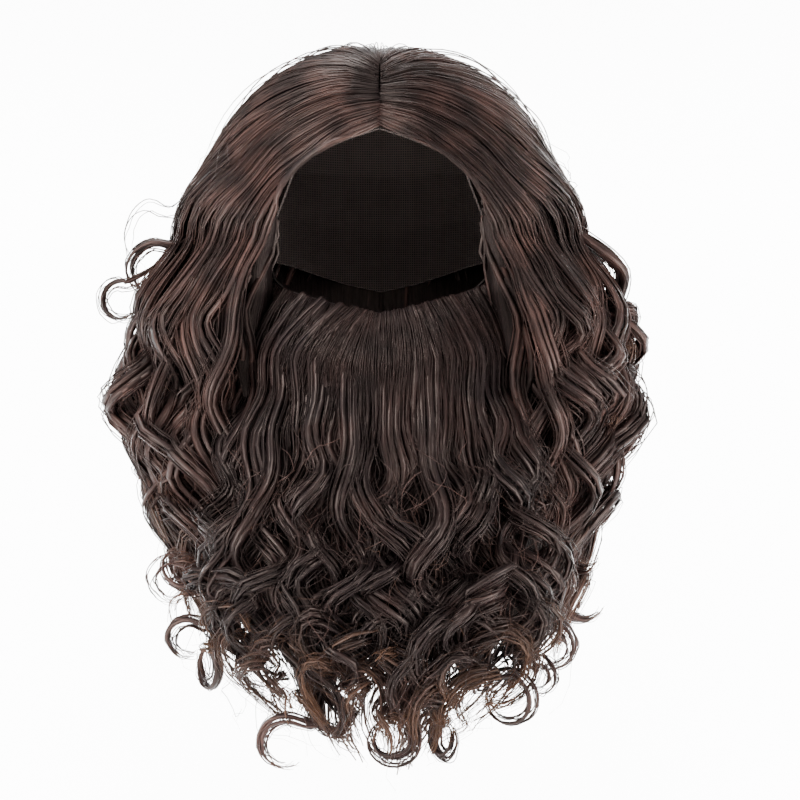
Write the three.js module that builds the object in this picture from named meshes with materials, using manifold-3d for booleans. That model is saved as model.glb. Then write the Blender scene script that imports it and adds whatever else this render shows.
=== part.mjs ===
// A long curly wig with a centre parting, worn together with a full beard.
// Millimetres, +Z up. The face looks along -Y, and +X is on the right of someone who looks at it.
// The origin is the inside of the cap's crown, where the wig sits on the top of a head.
import * as THREE from "three";
import { mergeVertices } from "three/addons/utils/BufferGeometryUtils.js";
import Module from "manifold-3d";

const wasm = await Module();
wasm.setup();

// Driving dimensions
const GAP = 0.4; // between pieces that lie against each other
const ROOM = 2 * GAP; // how much wider the room is that a piece cuts in another
const FACET = 1.2; // how far a flat facet of one piece may cut the corner of another
const CAP_WALL = 1.5; // stretch net cap
const BEARD_CLOTH = 1.5; // woven backing of the beard

// The head that the cap is made for, as an egg about a centre "up" below the crown
const HEAD = { side: 76, front: 92, back: 100, up: 105, down: 230 };
// The opening for the face, whose outline starts at the middle of the hairline
const FACE = { top: -48, halfWidth: 68, height: 100 };

// How far the crown hair stands off the cap, and its ends that hang over the lengths below it
const CROWN_HAIR = { side: 45, front: 9, back: 22, up: 13.5, crest: 5 };
const CROWN_ENDS = { length: 78, shortest: 46, lift: 6, thickness: 4 };
// The parting runs from the hairline, as a polar angle from the crown, to a little behind the crown. Its dip fades
// out between the "high" and "low" shares of the way up.
const PARTING = { width: 3, dip: 6, fade: 30, seamHeight: 3, front: 52, back: 20, low: 0.1, high: 0.6 };

// The hair that hangs below the crown, measured from the axis of the head
const CURTAIN = { top: -HEAD.up - GAP, length: 286, side: 148, front: 108, back: 128, wall: 30, lockWidth: 32 };

// The jaw that the beard's cloth is cut for, and the hair of the beard
const JAW = { top: -130, height: 132, side: 70, front: 100, back: 60 };
const BEARD = { top: -206, length: 254, side: 120, front: 137, sweep: 62, wall: 42, lockWidth: 26 };
// The smooth hair over the cloth: its thickness, its lower edge as a share of the jaw, and how far round it goes
const BEARD_TOP_HAIR = { edge: 2, rise: 24, lower: 0.86, sideLower: 0.7, reach: 71 };
const STRAP = { width: 10, thickness: 1.2, lap: 20, azimuth: 86 };

// Locks: how far the crest stands up and how far down it starts, the wave and its pitch, how much the wave turns
// from lock to lock, the length of the valley beside a lock as a share of the lock's, and how uneven the lengths are
const TRESS_LOCK = { crest: 11, start: 0.3, wave: 11, pitch: 92, turn: 1.15, valley: 0.86, uneven: 0.07 };
const BEARD_LOCK = { crest: 8, start: 0.1, wave: 8, pitch: 78, turn: 1.4, valley: 0.88, uneven: 0.08 };
// Shares of a length of hair: where its waves set in and are full, over how much of it a crest rises, how much
// thinner and narrower a tip gets, and where the ends of the crown hair start to close
const WAVES = { setIn: 0.12, full: 0.62 };
const CREST_RISE = 0.3;
const TIP = { thinner: 0.7, narrower: 0.8, crownClosing: 0.4 };
// A full ring curl, and its depth from front to back. Then shares: how its ring closes, where it starts to taper,
// the size of its tip and how far above the ring it is rooted.
const RING_CURL = { radius: 20, thickness: 11, depth: 18 };
const RING = { open: 1.08, closed: 0.86, taper: 0.5, tip: 0.5, rooted: 0.6 };

// How finely the faces are laid out
const STEPS_PER_WAVE = 3.6;
const COLUMNS_PER_LOCK = 3;
const TIP_STEPS = 2;
const VALLEY_TIP = 2; // how far the closed end of a valley hangs below its last full row
const RING_CURL_STEPS = 10;
const RING_CURL_SIDES = 4;
const CROWN_STEPS = { dome: 6, tail: 4 };
const PARTING_STEPS = 10;
const STRAP_STEPS = 6;
const CAP_GRID = { rings: 5, columns: 24 };
const CLOTH_GRID = { columns: 14, rows: 5 };
const TOP_HAIR_GRID = { columns: 12, rows: 5 };
const BEARD_ROOM_GRID = { columns: 8, rows: 6 };

// The cap's edge: how far down from straight up it reaches, all the way round from the face to the nape
const CAP_EDGE = [
  { azimuth: 0, polar: 53 },
  { azimuth: 30, polar: 61 },
  { azimuth: 50, polar: 67 },
  { azimuth: 58, polar: 84 },
  { azimuth: 66, polar: 102 },
  { azimuth: 92, polar: 108 },
  { azimuth: 140, polar: 108 },
  { azimuth: 180, polar: 114 },
];

// One side of the face opening, as shares of FACE.halfWidth outwards and FACE.height down
const FACE_OUTLINE = [
  { out: 0, down: 0 },
  { out: 0.42, down: 0.09 },
  { out: 0.66, down: 0.18 },
  { out: 0.86, down: 0.28 },
  { out: 0.97, down: 0.42 },
  { out: 1, down: 0.6 },
  { out: 1, down: 1 },
];

// Sections of the hanging hair, as shares of CURTAIN
const CURTAIN_ROWS = [
  { drop: 0, side: 0.76, front: 0.86, back: 0.89, wall: 0.8 },
  { drop: 0.06, side: 0.84, front: 0.93, back: 0.94, wall: 1 },
  { drop: 0.23, side: 1, front: 1, back: 1, wall: 1 },
  { drop: 0.52, side: 1, front: 1, back: 0.98, wall: 1 },
  { drop: 0.68, side: 0.9, front: 0.98, back: 0.93, wall: 0.85 },
  { drop: 1, side: 0.78, front: 0.9, back: 0.8, wall: 0.4 },
];

// Sections of the jaw, as shares of JAW
const JAW_ROWS = [
  { drop: 0, side: 1.05, front: 0.92, back: 1 },
  { drop: 0.3, side: 1.01, front: 0.98, back: 1 },
  { drop: 0.55, side: 0.94, front: 1, back: 1 },
  { drop: 0.8, side: 0.8, front: 1, back: 1 },
  { drop: 1, side: 0.68, front: 0.86, back: 1 },
];

// The beard's cloth: its upper and lower edge, as shares of JAW.height below JAW.top
const BEARD_EDGES = [
  { azimuth: 0, upper: 0.305, lower: 0.96 },
  { azimuth: 12, upper: 0.28, lower: 0.95 },
  { azimuth: 34, upper: 0.225, lower: 0.88 },
  { azimuth: 66, upper: 0.15, lower: 0.6 },
  { azimuth: 88, upper: 0.06, lower: 0.38 },
];

// The smooth hair at the top of the beard, from its upper edge down: thickness as a share of BEARD_TOP_HAIR.rise
const BEARD_TOP_ROWS = [
  { down: 0, rise: 0.1 },
  { down: 0.2, rise: 0.36 },
  { down: 0.5, rise: 0.78 },
  { down: 0.8, rise: 1 },
  { down: 1, rise: 0.9 },
];

// Sections of the beard's hanging hair, as shares of BEARD
const BEARD_ROWS = [
  { drop: 0, side: 0.76, front: 0.88, sweep: 1, wall: 0.75 },
  { drop: 0.16, side: 0.87, front: 0.97, sweep: 0.95, wall: 0.95 },
  { drop: 0.38, side: 0.95, front: 1, sweep: 0.85, wall: 1 },
  { drop: 0.6, side: 1, front: 0.99, sweep: 0.75, wall: 0.95 },
  { drop: 0.78, side: 0.92, front: 0.94, sweep: 0.65, wall: 0.8 },
  { drop: 0.92, side: 0.68, front: 0.86, sweep: 0.5, wall: 0.55 },
  { drop: 1, side: 0.42, front: 0.79, sweep: 0.35, wall: 0.3 },
];

// How the crown hair of one side is combed: lock 0 runs along the hairline, and lock 8 down the middle of the back.
// "start" is where a lock leaves the parting, as a polar angle towards the face, and "azimuth" where it comes down.
const CROWN_FLOW = [
  { lock: 0, start: 52, azimuth: 42 },
  { lock: 2, start: 36, azimuth: 66 },
  { lock: 4, start: 14, azimuth: 96 },
  { lock: 6, start: -8, azimuth: 134 },
  { lock: 8, start: -20, azimuth: 180 },
];

// The lengths hang in tresses of two or three locks, counted round the back from one side of the face to the other
const CURTAIN_LOCKS = 22;
const CURTAIN_START = 40; // azimuth of the first lock's edge, beside the face
const TRESSES = [
  { name: "tress_right_front", from: 0, to: 2 },
  { name: "tress_right_side", from: 2, to: 5 },
  { name: "tress_right_rear", from: 5, to: 8 },
  { name: "tress_right_back", from: 8, to: 11 },
  { name: "tress_left_back", from: 11, to: 14 },
  { name: "tress_left_rear", from: 14, to: 17 },
  { name: "tress_left_side", from: 17, to: 20 },
  { name: "tress_left_front", from: 20, to: 22 },
];

// The beard hangs in three parts of three locks, counted from the left of the beard
const BEARD_LOCKS = 9;
const BEARD_PARTS = [
  { name: "beard_hair_left", from: 0, to: 3 },
  { name: "beard_hair_centre", from: 3, to: 6 },
  { name: "beard_hair_right", from: 6, to: 9 },
];

// Ring curls that stand out of the outline, and the part that each grows from. The middle of the ring lies at
// shares of the side, of the front and of the way down of the wig's lengths or of the beard, and the radius is a
// share of a full one. Then how much of a turn it makes, and where the ring begins: 0 is towards +X, and 90 up.
const CURLS = [
  { on: "tress_left_side", side: -1.122, front: 0.13, drop: 0.163, size: 0.95, turn: 310, begin: 20 },
  { on: "tress_left_side", side: -1.068, front: 0.148, drop: 0.338, size: 1, turn: 300, begin: 40 },
  { on: "tress_left_side", side: -1.034, front: 0.093, drop: 0.499, size: 1.1, turn: 310, begin: 30 },
  { on: "tress_left_side", side: -0.892, front: 0.148, drop: 0.813, size: 0.85, turn: 280, begin: 40 },
  { on: "tress_left_front", side: -0.811, front: 0.537, drop: 1.03, size: 0.9, turn: 290, begin: 50 },
  { on: "tress_right_side", side: 1.095, front: 0.167, drop: 0.282, size: 0.95, turn: -300, begin: 150 },
  { on: "tress_right_side", side: 1.02, front: 0.093, drop: 0.436, size: 1.15, turn: -310, begin: 150 },
  { on: "tress_right_side", side: 1, front: 0.093, drop: 0.617, size: 1.1, turn: -300, begin: 140 },
  { on: "tress_right_side", side: 0.878, front: 0.13, drop: 0.855, size: 0.85, turn: -280, begin: 140 },
  { on: "tress_right_front", side: 0.784, front: 0.537, drop: 1.037, size: 0.9, turn: -290, begin: 130 },
  { on: "beard_hair_left", side: -0.517, front: 0.847, drop: 0.992, size: 0.8, turn: 300, begin: 60 },
  { on: "beard_hair_centre", side: -0.033, front: 0.861, drop: 0.969, size: 0.6, turn: 290, begin: 80 },
  { on: "beard_hair_right", side: 0.483, front: 0.832, drop: 0.953, size: 0.8, turn: -300, begin: 120 },
];

const CROWN = new THREE.Vector3(0, 0, -HEAD.up); // the middle of the head, below the crown
const UP = new THREE.Vector3(0, 0, 1);
const STILL = { sideways: 0, outwards: 0 };
const REACH = 400; // further forwards than any hair
const rad = THREE.MathUtils.degToRad;
const { lerp, smoothstep } = THREE.MathUtils;

// The row of a table at a place between its rows, with every column interpolated.
function rowAt(rows, column, place) {
  const last = rows.length - 1;
  let i = 0;
  while (i < last - 1 && place > rows[i + 1][column]) i += 1;
  const [a, b] = [rows[i], rows[i + 1]];
  const share = THREE.MathUtils.clamp((place - a[column]) / (b[column] - a[column]), 0, 1);
  const found = {};
  for (const key of Object.keys(a)) {
    if (typeof a[key] === "number") found[key] = lerp(a[key], b[key], share);
  }
  return found;
}

// A direction from the middle of the head: azimuth from the face towards +X, polar angle from straight up.
function direction(azimuth, polar) {
  const [a, p] = [rad(azimuth), rad(polar)];
  return new THREE.Vector3(Math.sin(p) * Math.sin(a), -Math.sin(p) * Math.cos(a), Math.cos(p));
}

// The head's egg grown outwards by a thickness for each of its sides.
function grownHead(by) {
  const grown = {};
  for (const key of Object.keys(HEAD)) grown[key] = HEAD[key] + (by[key] ?? 0);
  return grown;
}

function evenly(by) {
  return { side: by, front: by, back: by, up: by, down: by };
}

// How far an egg reaches from the middle of the head in a direction.
function eggRadius(egg, way) {
  const depth = way.y < 0 ? egg.front : egg.back;
  const tall = way.z > 0 ? egg.up : egg.down;
  return 1 / Math.hypot(way.x / egg.side, way.y / depth, way.z / tall);
}

const CAP_OUTSIDE = grownHead(evenly(CAP_WALL));
const HAIR_SEAT = GAP + FACET; // the hair's inside stands this far off the cap
const JAW_SEAT = BEARD_CLOTH + GAP + FACET; // and the beard's hair this far off the jaw
const CROWN_OUTSIDE = grownHead({
  side: CAP_WALL + CROWN_HAIR.side,
  front: CAP_WALL + CROWN_HAIR.front,
  back: CAP_WALL + CROWN_HAIR.back,
  up: CAP_WALL + CROWN_HAIR.up,
});

// The outside of the crown hair, which dips towards the parting.
function crownRadius(way) {
  const full = eggRadius(CROWN_OUTSIDE, way);
  const inTheParting = 1 - smoothstep(Math.abs(way.x) * full, 0, PARTING.fade);
  const onTop = smoothstep(way.z, PARTING.low, PARTING.high);
  return full - PARTING.dip * inTheParting * onTop;
}

// A closed geometry from a grid of points on an outside and an inside skin, joined along its borders.
// Seen from outside, rows run down and columns run to the right. Both side walls are split along the same
// diagonal, so that neighbours with a common side keep their gap.
function skinGeometry({ outside, inside }) {
  const [rows, columns] = [outside.length, outside[0].length];
  const points = [...outside.flat(), ...inside.flat()];
  const faces = [];
  const index = (skin, i, j) => (skin * rows + i) * columns + j;
  const quad = (a, b, c, d) => faces.push(a, b, c, a, c, d);
  const [bottom, end] = [rows - 1, columns - 1];
  for (let i = 0; i < bottom; i += 1) {
    for (let j = 0; j < end; j += 1) {
      quad(index(0, i, j), index(0, i + 1, j), index(0, i + 1, j + 1), index(0, i, j + 1));
      quad(index(1, i, j), index(1, i, j + 1), index(1, i + 1, j + 1), index(1, i + 1, j));
    }
    quad(index(0, i, 0), index(1, i, 0), index(1, i + 1, 0), index(0, i + 1, 0));
    quad(index(1, i + 1, end), index(1, i, end), index(0, i, end), index(0, i + 1, end));
  }
  for (let j = 0; j < end; j += 1) {
    quad(index(0, 0, j), index(0, 0, j + 1), index(1, 0, j + 1), index(1, 0, j));
    quad(index(0, bottom, j + 1), index(0, bottom, j), index(1, bottom, j), index(1, bottom, j + 1));
  }
  return geometryOf(points, faces);
}

function geometryOf(points, faces) {
  const geometry = new THREE.BufferGeometry().setFromPoints(points);
  geometry.setIndex(faces);
  return geometry;
}

// A closed geometry as a solid that can be joined and cut.
function solidOf(geometry) {
  const bare = geometry.clone();
  bare.deleteAttribute("normal");
  bare.deleteAttribute("uv");
  const merged = mergeVertices(bare, 1e-3);
  const index = merged.index.array;
  const triVerts = [];
  for (let i = 0; i < index.length; i += 3) {
    const [a, b, c] = [index[i], index[i + 1], index[i + 2]];
    if (a !== b && b !== c && a !== c) triVerts.push(a, b, c);
  }
  return new wasm.Manifold(
    new wasm.Mesh({
      numProp: 3,
      vertProperties: merged.attributes.position.array,
      triVerts: new Uint32Array(triVerts),
    }),
  );
}

function sheetSolid(skins) {
  return solidOf(skinGeometry(skins));
}

// The largest body of a solid, without the slivers that a cut leaves.
function largest(solid) {
  return solid.decompose().reduce((a, b) => (b.volume() > a.volume() ? b : a));
}

function fused(solids) {
  return solids.reduce((a, b) => a.add(b));
}

// The cap: a dome about the middle of the head, closed over the crown by a point on each skin.
function capSolid() {
  const { rings, columns } = CAP_GRID;
  const skins = [CAP_OUTSIDE, HEAD].map((egg) => {
    const skin = [];
    for (let i = 1; i <= rings; i += 1) {
      for (let j = 0; j < columns; j += 1) {
        const azimuth = (360 * j) / columns;
        const edge = rowAt(CAP_EDGE, "azimuth", Math.min(azimuth, 360 - azimuth)).polar;
        const way = direction(azimuth, (edge * i) / rings);
        skin.push(CROWN.clone().addScaledVector(way, eggRadius(egg, way)));
      }
    }
    skin.push(CROWN.clone().addScaledVector(UP, egg.up));
    return skin;
  });
  const faces = [];
  const perSkin = rings * columns + 1;
  const index = (skin, i, j) => skin * perSkin + i * columns + (j % columns);
  const [outerPole, innerPole] = [perSkin - 1, 2 * perSkin - 1];
  const quad = (a, b, c, d) => faces.push(a, b, c, a, c, d);
  for (let j = 0; j < columns; j += 1) {
    faces.push(outerPole, index(0, 0, j), index(0, 0, j + 1));
    faces.push(innerPole, index(1, 0, j + 1), index(1, 0, j));
    for (let i = 0; i < rings - 1; i += 1) {
      quad(index(0, i, j), index(0, i + 1, j), index(0, i + 1, j + 1), index(0, i, j + 1));
      quad(index(1, i, j), index(1, i, j + 1), index(1, i + 1, j + 1), index(1, i + 1, j));
    }
    const end = rings - 1;
    quad(index(0, end, j), index(1, end, j), index(1, end, j + 1), index(0, end, j + 1));
  }
  return solidOf(geometryOf(skins.flat(), faces));
}

function awayFromAxis(place) {
  return new THREE.Vector3(place.x, place.y, 0).normalize();
}

function awayFromHead(place) {
  return place.clone().sub(CROWN).normalize();
}

// Sideways and outwards wave of a lock, at a depth below the place where the hair starts to hang.
function waveAt(lock, length, count, depth) {
  const turn = (2 * Math.PI * depth) / lock.pitch + lock.turn * count;
  const swing = lock.wave * smoothstep(depth / length, WAVES.setIn, WAVES.full);
  return { sideways: swing * Math.sin(turn), outwards: swing * Math.cos(turn) };
}

// A place round the head at an azimuth and a height, "outwards" beyond the outside of the sections.
function roundPlace(rows, sizes, azimuth, z, outwards) {
  const at = rowAt(rows, "drop", (sizes.top - z) / sizes.length);
  const a = rad(azimuth);
  const depth = Math.cos(a) > 0 ? sizes.front * at.front : sizes.back * at.back;
  return new THREE.Vector3(
    (sizes.side * at.side + outwards) * Math.sin(a),
    -(depth + outwards) * Math.cos(a),
    z,
  );
}

// A place on the lengths of the wig, at a count of locks round the head.
function curtainPlace(count, z, outwards) {
  const wave = waveAt(TRESS_LOCK, CURTAIN.length, count, CURTAIN.top - z);
  const span = 360 - 2 * CURTAIN_START;
  const azimuth = CURTAIN_START + (count / CURTAIN_LOCKS) * span;
  const turned = azimuth + THREE.MathUtils.radToDeg(wave.sideways / CURTAIN.side);
  return roundPlace(CURTAIN_ROWS, CURTAIN, turned, z, outwards + wave.outwards);
}

// A place on the beard's hanging hair, at a count of locks across it. The beard's sides sweep back.
function beardPlace(count, z, outwards, still) {
  const at = rowAt(BEARD_ROWS, "drop", (BEARD.top - z) / BEARD.length);
  const wave = still ?? waveAt(BEARD_LOCK, BEARD.length, count, BEARD.top - z);
  const halfWidth = BEARD.side * at.side;
  const sweep = BEARD.sweep * at.sweep;
  const share = (2 * count) / BEARD_LOCKS - 1 + wave.sideways / BEARD.side;
  const out = new THREE.Vector3(2 * sweep * share, -halfWidth, 0).normalize();
  const middle = new THREE.Vector3(halfWidth * share, sweep * share * share - BEARD.front * at.front, z);
  return middle.addScaledVector(out, outwards + wave.outwards);
}

// The hair's inside is kept off the head.
function clearOfHead(place) {
  const way = awayFromHead(place);
  const least = eggRadius(CAP_OUTSIDE, way) + HAIR_SEAT;
  const radius = place.distanceTo(CROWN);
  return radius < least ? CROWN.clone().addScaledVector(way, least) : place;
}

// A stretch of hanging hair: locks side by side, each a ridge between two valleys, closing to a tip of its own.
// The rows are level down to where the valleys end, and the tips hang on from there. The two side walls stand half
// a gap inside their valleys.
function lockSkins(placeAt, rows, sizes, lock, from, to) {
  const steps = Math.round((sizes.length / lock.pitch) * STEPS_PER_WAVE);
  const lastColumn = (to - from) * COLUMNS_PER_LOCK;
  const valleyEnd = sizes.length * lock.valley;
  const [outside, inside] = [[], []];
  for (let i = 0; i <= steps + TIP_STEPS; i += 1) {
    const [ringOut, ringIn] = [[], []];
    for (let j = 0; j <= lastColumn; j += 1) {
      const isValley = j % COLUMNS_PER_LOCK === 0;
      const count = from + j / COLUMNS_PER_LOCK;
      const whole = Math.floor(count);
      const short = lock.uneven * (0.5 + 0.5 * Math.sin(2 * lock.turn * whole));
      const tip = isValley ? VALLEY_TIP : sizes.length * (1 - short) - valleyEnd;
      const down = Math.min(i / steps, 1);
      const inTip = Math.max(i - steps, 0) / TIP_STEPS;
      const z = sizes.top - valleyEnd * down - tip * inTip;
      const closing = isValley ? 0 : inTip;
      const risen = smoothstep(down, lock.start, lock.start + CREST_RISE) * (1 - closing);
      const crest = isValley ? 0 : lock.crest * risen;
      const wall = sizes.wall * rowAt(rows, "drop", (sizes.top - z) / sizes.length).wall;
      const pull = { 0: GAP / 2, [lastColumn]: -GAP / 2 }[j] ?? 0;
      const across = lerp(count, whole + 0.5, TIP.narrower * closing) + pull / sizes.lockWidth;
      ringOut.push(placeAt(across, z, crest));
      ringIn.push(clearOfHead(placeAt(across, z, -wall * (1 - TIP.thinner * closing))));
    }
    outside.push(ringOut);
    inside.push(ringIn);
  }
  return { outside, inside };
}

// The tube of a ring curl along a path, with one side of its section in the direction "square", tapering to a tip.
function tubeSolid(path, square, radius) {
  const last = path.length - 1;
  const points = [];
  const faces = [];
  path.forEach((place, i) => {
    const along = path[Math.min(i + 1, last)].clone().sub(path[Math.max(i - 1, 0)]).normalize();
    const across = square.clone().cross(along).normalize();
    const size = radius * lerp(1, RING.tip, smoothstep(i / last, RING.taper, 1));
    for (let k = 0; k < RING_CURL_SIDES; k += 1) {
      const angle = (2 * Math.PI * k) / RING_CURL_SIDES;
      const point = place.clone().addScaledVector(across, Math.cos(angle) * size);
      points.push(point.addScaledVector(square, Math.sin(angle) * size));
    }
  });
  points.push(path[0], path[last]);
  const ring = (i, k) => i * RING_CURL_SIDES + (k % RING_CURL_SIDES);
  const [startPole, endPole] = [points.length - 2, points.length - 1];
  for (let k = 0; k < RING_CURL_SIDES; k += 1) {
    faces.push(startPole, ring(0, k + 1), ring(0, k));
    faces.push(endPole, ring(last, k), ring(last, k + 1));
    for (let i = 0; i < last; i += 1) {
      faces.push(ring(i, k), ring(i, k + 1), ring(i + 1, k + 1));
      faces.push(ring(i, k), ring(i + 1, k + 1), ring(i + 1, k));
    }
  }
  return solidOf(geometryOf(points, faces));
}

// The middle of a ring curl's ring, beside the wig's lengths or in front of the beard.
function ringMiddle(curl) {
  const hair = curl.on.startsWith("beard") ? BEARD : CURTAIN;
  return new THREE.Vector3(hair.side * curl.side, -hair.front * curl.front, hair.top - hair.length * curl.drop);
}

// A ring curl: it leaves the hair and makes most of a turn in the plane that faces forwards, closing a little.
function ringCurl(curl, spare = 0) {
  const middle = ringMiddle(curl);
  const full = RING_CURL.radius * curl.size;
  const path = [];
  for (let i = 0; i <= RING_CURL_STEPS; i += 1) {
    const t = i / RING_CURL_STEPS;
    const angle = rad(curl.begin - curl.turn * t);
    const radius = full * lerp(RING.open, RING.closed, t);
    const spoke = new THREE.Vector3(Math.cos(angle), 0, Math.sin(angle)).multiplyScalar(radius);
    path.push(middle.clone().add(spoke).setY(middle.y + RING_CURL.depth * (t - 0.5)));
  }
  const root = path[0].clone().addScaledVector(awayFromAxis(middle), -full);
  path.unshift(root.setZ(root.z + full * RING.rooted));
  return tubeSolid(path, new THREE.Vector3(0, -1, 0), RING_CURL.thickness / 2 + spare);
}

// The way from the middle of the head to a place on the crown hair of one side: "share" runs down from the
// parting to where the hair starts to hang.
function crownWay(side, lock, share) {
  const flow = rowAt(CROWN_FLOW, "lock", lock);
  const start = direction(flow.start > 0 ? 0 : 180, Math.abs(flow.start));
  const end = direction(side * flow.azimuth, 90);
  const angle = start.angleTo(end);
  const way = start.multiplyScalar(Math.sin((1 - share) * angle)).addScaledVector(end, Math.sin(share * angle));
  return way.normalize();
}

// A place on the end of a crown lock, which hangs outside the lengths and follows their waves.
function tailPlace(side, lock, share, lift) {
  const whole = Math.floor(lock);
  const isValley = lock === whole;
  const longest = whole % 2 === 0 ? CROWN_ENDS.length : CROWN_ENDS.shortest;
  const drop = share * (isValley ? CROWN_ENDS.shortest / 2 : longest);
  const closing = isValley ? 0 : smoothstep(share, TIP.crownClosing, 1);
  const crest = isValley ? 0 : CROWN_HAIR.crest * (1 - closing);
  const azimuth = rowAt(CROWN_FLOW, "lock", lerp(lock, whole + 0.5, TIP.narrower * closing)).azimuth;
  const round = side > 0 ? azimuth : 360 - azimuth;
  const count = ((round - CURTAIN_START) / (360 - 2 * CURTAIN_START)) * CURTAIN_LOCKS;
  const outwards = CROWN_ENDS.lift + lift * (CROWN_ENDS.thickness + crest);
  return curtainPlace(count, CROWN.z - drop, outwards);
}

// The crown hair of one side, combed from the parting over the cap, in locks whose ends lie outside the lengths.
// On the inside, the first row of the ends is level with the last row of the dome.
function crownSkins(side) {
  const { dome, tail } = CROWN_STEPS;
  const lastColumn = CROWN_FLOW.at(-1).lock * COLUMNS_PER_LOCK;
  const [outside, inside] = [[], []];
  for (let i = 0; i <= dome + tail; i += 1) {
    const [ringOut, ringIn] = [[], []];
    const least = i === 0 ? PARTING.width / 2 + GAP : GAP;
    const onItsSide = (place) => place.setX(side * Math.max(side * place.x, least));
    for (let j = 0; j <= lastColumn; j += 1) {
      const lock = j / COLUMNS_PER_LOCK;
      if (i <= dome) {
        const share = i / dome;
        const way = crownWay(side, lock, share);
        const crest = j % COLUMNS_PER_LOCK === 0 ? 0 : CROWN_HAIR.crest * smoothstep(share, 0, CREST_RISE);
        ringOut.push(onItsSide(CROWN.clone().addScaledVector(way, crownRadius(way) + crest)));
        ringIn.push(onItsSide(CROWN.clone().addScaledVector(way, eggRadius(CAP_OUTSIDE, way) + HAIR_SEAT)));
      } else {
        const step = i - dome;
        ringOut.push(onItsSide(tailPlace(side, lock, step / tail, 1)));
        ringIn.push(onItsSide(tailPlace(side, lock, (step - 1) / (tail - 1), 0)));
      }
    }
    outside.push(side > 0 ? ringOut : ringOut.reverse());
    inside.push(side > 0 ? ringIn : ringIn.reverse());
  }
  return { outside, inside };
}

// The seam of the parting: a narrow strip in the groove between the two sides of the crown hair.
function partingSkins() {
  const [outside, inside] = [[], []];
  for (let i = 0; i <= PARTING_STEPS; i += 1) {
    const polar = lerp(-PARTING.back, PARTING.front, i / PARTING_STEPS);
    const way = direction(polar < 0 ? 180 : 0, Math.abs(polar));
    const low = CROWN.clone().addScaledVector(way, eggRadius(CAP_OUTSIDE, way) + GAP / 2);
    const high = low.clone().addScaledVector(way, PARTING.seamHeight);
    outside.push([high.clone().setX(-PARTING.width / 2), high.clone().setX(PARTING.width / 2)]);
    inside.push([low.clone().setX(-PARTING.width / 2), low.clone().setX(PARTING.width / 2)]);
  }
  return { outside, inside };
}

// The room of the face: its outline seen from the front, from the middle of the head forwards.
function faceRoomSolid() {
  const rightSide = FACE_OUTLINE.map((row) => [row.out * FACE.halfWidth, FACE.top - row.down * FACE.height]);
  const leftSide = rightSide.slice(1).map(([x, z]) => [-x, z]);
  const outline = [...rightSide.reverse(), ...leftSide];
  const shape = new THREE.Shape(outline.map(([x, z]) => new THREE.Vector2(x, z)));
  return solidOf(new THREE.ExtrudeGeometry(shape, { depth: REACH, bevelEnabled: false }).rotateX(Math.PI / 2));
}

function jawPlace(azimuth, z, outwards) {
  return roundPlace(JAW_ROWS, { ...JAW, length: JAW.height }, azimuth, z, outwards);
}

// A sheet over the jaw between two edges, given as shares of the way down the jaw.
function jawSkins(grid, reach, edgesAt, outerRise, innerRise) {
  const [outside, inside] = [[], []];
  for (let i = 0; i <= grid.rows; i += 1) {
    const down = i / grid.rows;
    const [ringOut, ringIn] = [[], []];
    for (let j = 0; j <= grid.columns; j += 1) {
      const azimuth = lerp(-reach, reach, j / grid.columns);
      const edges = edgesAt(Math.abs(azimuth));
      const z = JAW.top - JAW.height * lerp(edges.upper, edges.lower, down);
      ringOut.push(jawPlace(azimuth, z, outerRise(down)));
      ringIn.push(jawPlace(azimuth, z, innerRise));
    }
    outside.push(ringOut);
    inside.push(ringIn);
  }
  return { outside, inside };
}

function beardClothSkins() {
  const edgesAt = (azimuth) => rowAt(BEARD_EDGES, "azimuth", azimuth);
  return jawSkins(CLOTH_GRID, BEARD_EDGES.at(-1).azimuth, edgesAt, () => BEARD_CLOTH, 0);
}

// The smooth hair that covers the cloth, from its upper edge to below the chin, or with "spare" the room for it.
function beardTopSkins(spare = 0) {
  const { lower, sideLower, reach, rise, edge } = BEARD_TOP_HAIR;
  const edgesAt = (azimuth) => ({
    upper: rowAt(BEARD_EDGES, "azimuth", azimuth).upper - spare / JAW.height,
    lower: lerp(lower, sideLower, smoothstep(azimuth, 20, reach)) + spare / JAW.height,
  });
  const outerRise = (down) => BEARD_CLOTH + edge + rise * rowAt(BEARD_TOP_ROWS, "down", down).rise + spare;
  const turn = THREE.MathUtils.radToDeg(spare / JAW.side);
  return jawSkins(TOP_HAIR_GRID, reach + turn, edgesAt, outerRise, JAW_SEAT - spare);
}

// The room of the whole hanging beard beside the tresses: its sections without locks or waves.
function beardRoomSkins() {
  const { columns, rows } = BEARD_ROOM_GRID;
  const spare = BEARD_LOCK.wave + ROOM;
  const [outside, inside] = [[], []];
  for (let i = 0; i <= rows; i += 1) {
    const z = lerp(BEARD.top + spare, BEARD.top - BEARD.length, i / rows);
    const [ringOut, ringIn] = [[], []];
    for (let j = 0; j <= columns; j += 1) {
      const count = lerp(-spare / BEARD.lockWidth, BEARD_LOCKS + spare / BEARD.lockWidth, j / columns);
      ringOut.push(beardPlace(count, z, spare + BEARD_LOCK.crest, STILL));
      ringIn.push(beardPlace(count, z, -BEARD.wall - spare, STILL));
    }
    outside.push(ringOut);
    inside.push(ringIn);
  }
  return { outside, inside };
}

// The room of the jaw and the neck behind the beard.
function jawRoomSkins() {
  const outside = JAW_ROWS.map((row) => {
    const ring = [];
    const z = JAW.top - row.drop * JAW.height;
    for (let j = 0; j <= CLOTH_GRID.columns; j += 1) {
      ring.push(jawPlace(lerp(-90, 90, j / CLOTH_GRID.columns), z, JAW_SEAT));
    }
    return ring;
  });
  const inside = outside.map((ring) => ring.map((place) => place.clone().setY(JAW.back)));
  return { outside, inside };
}

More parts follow.
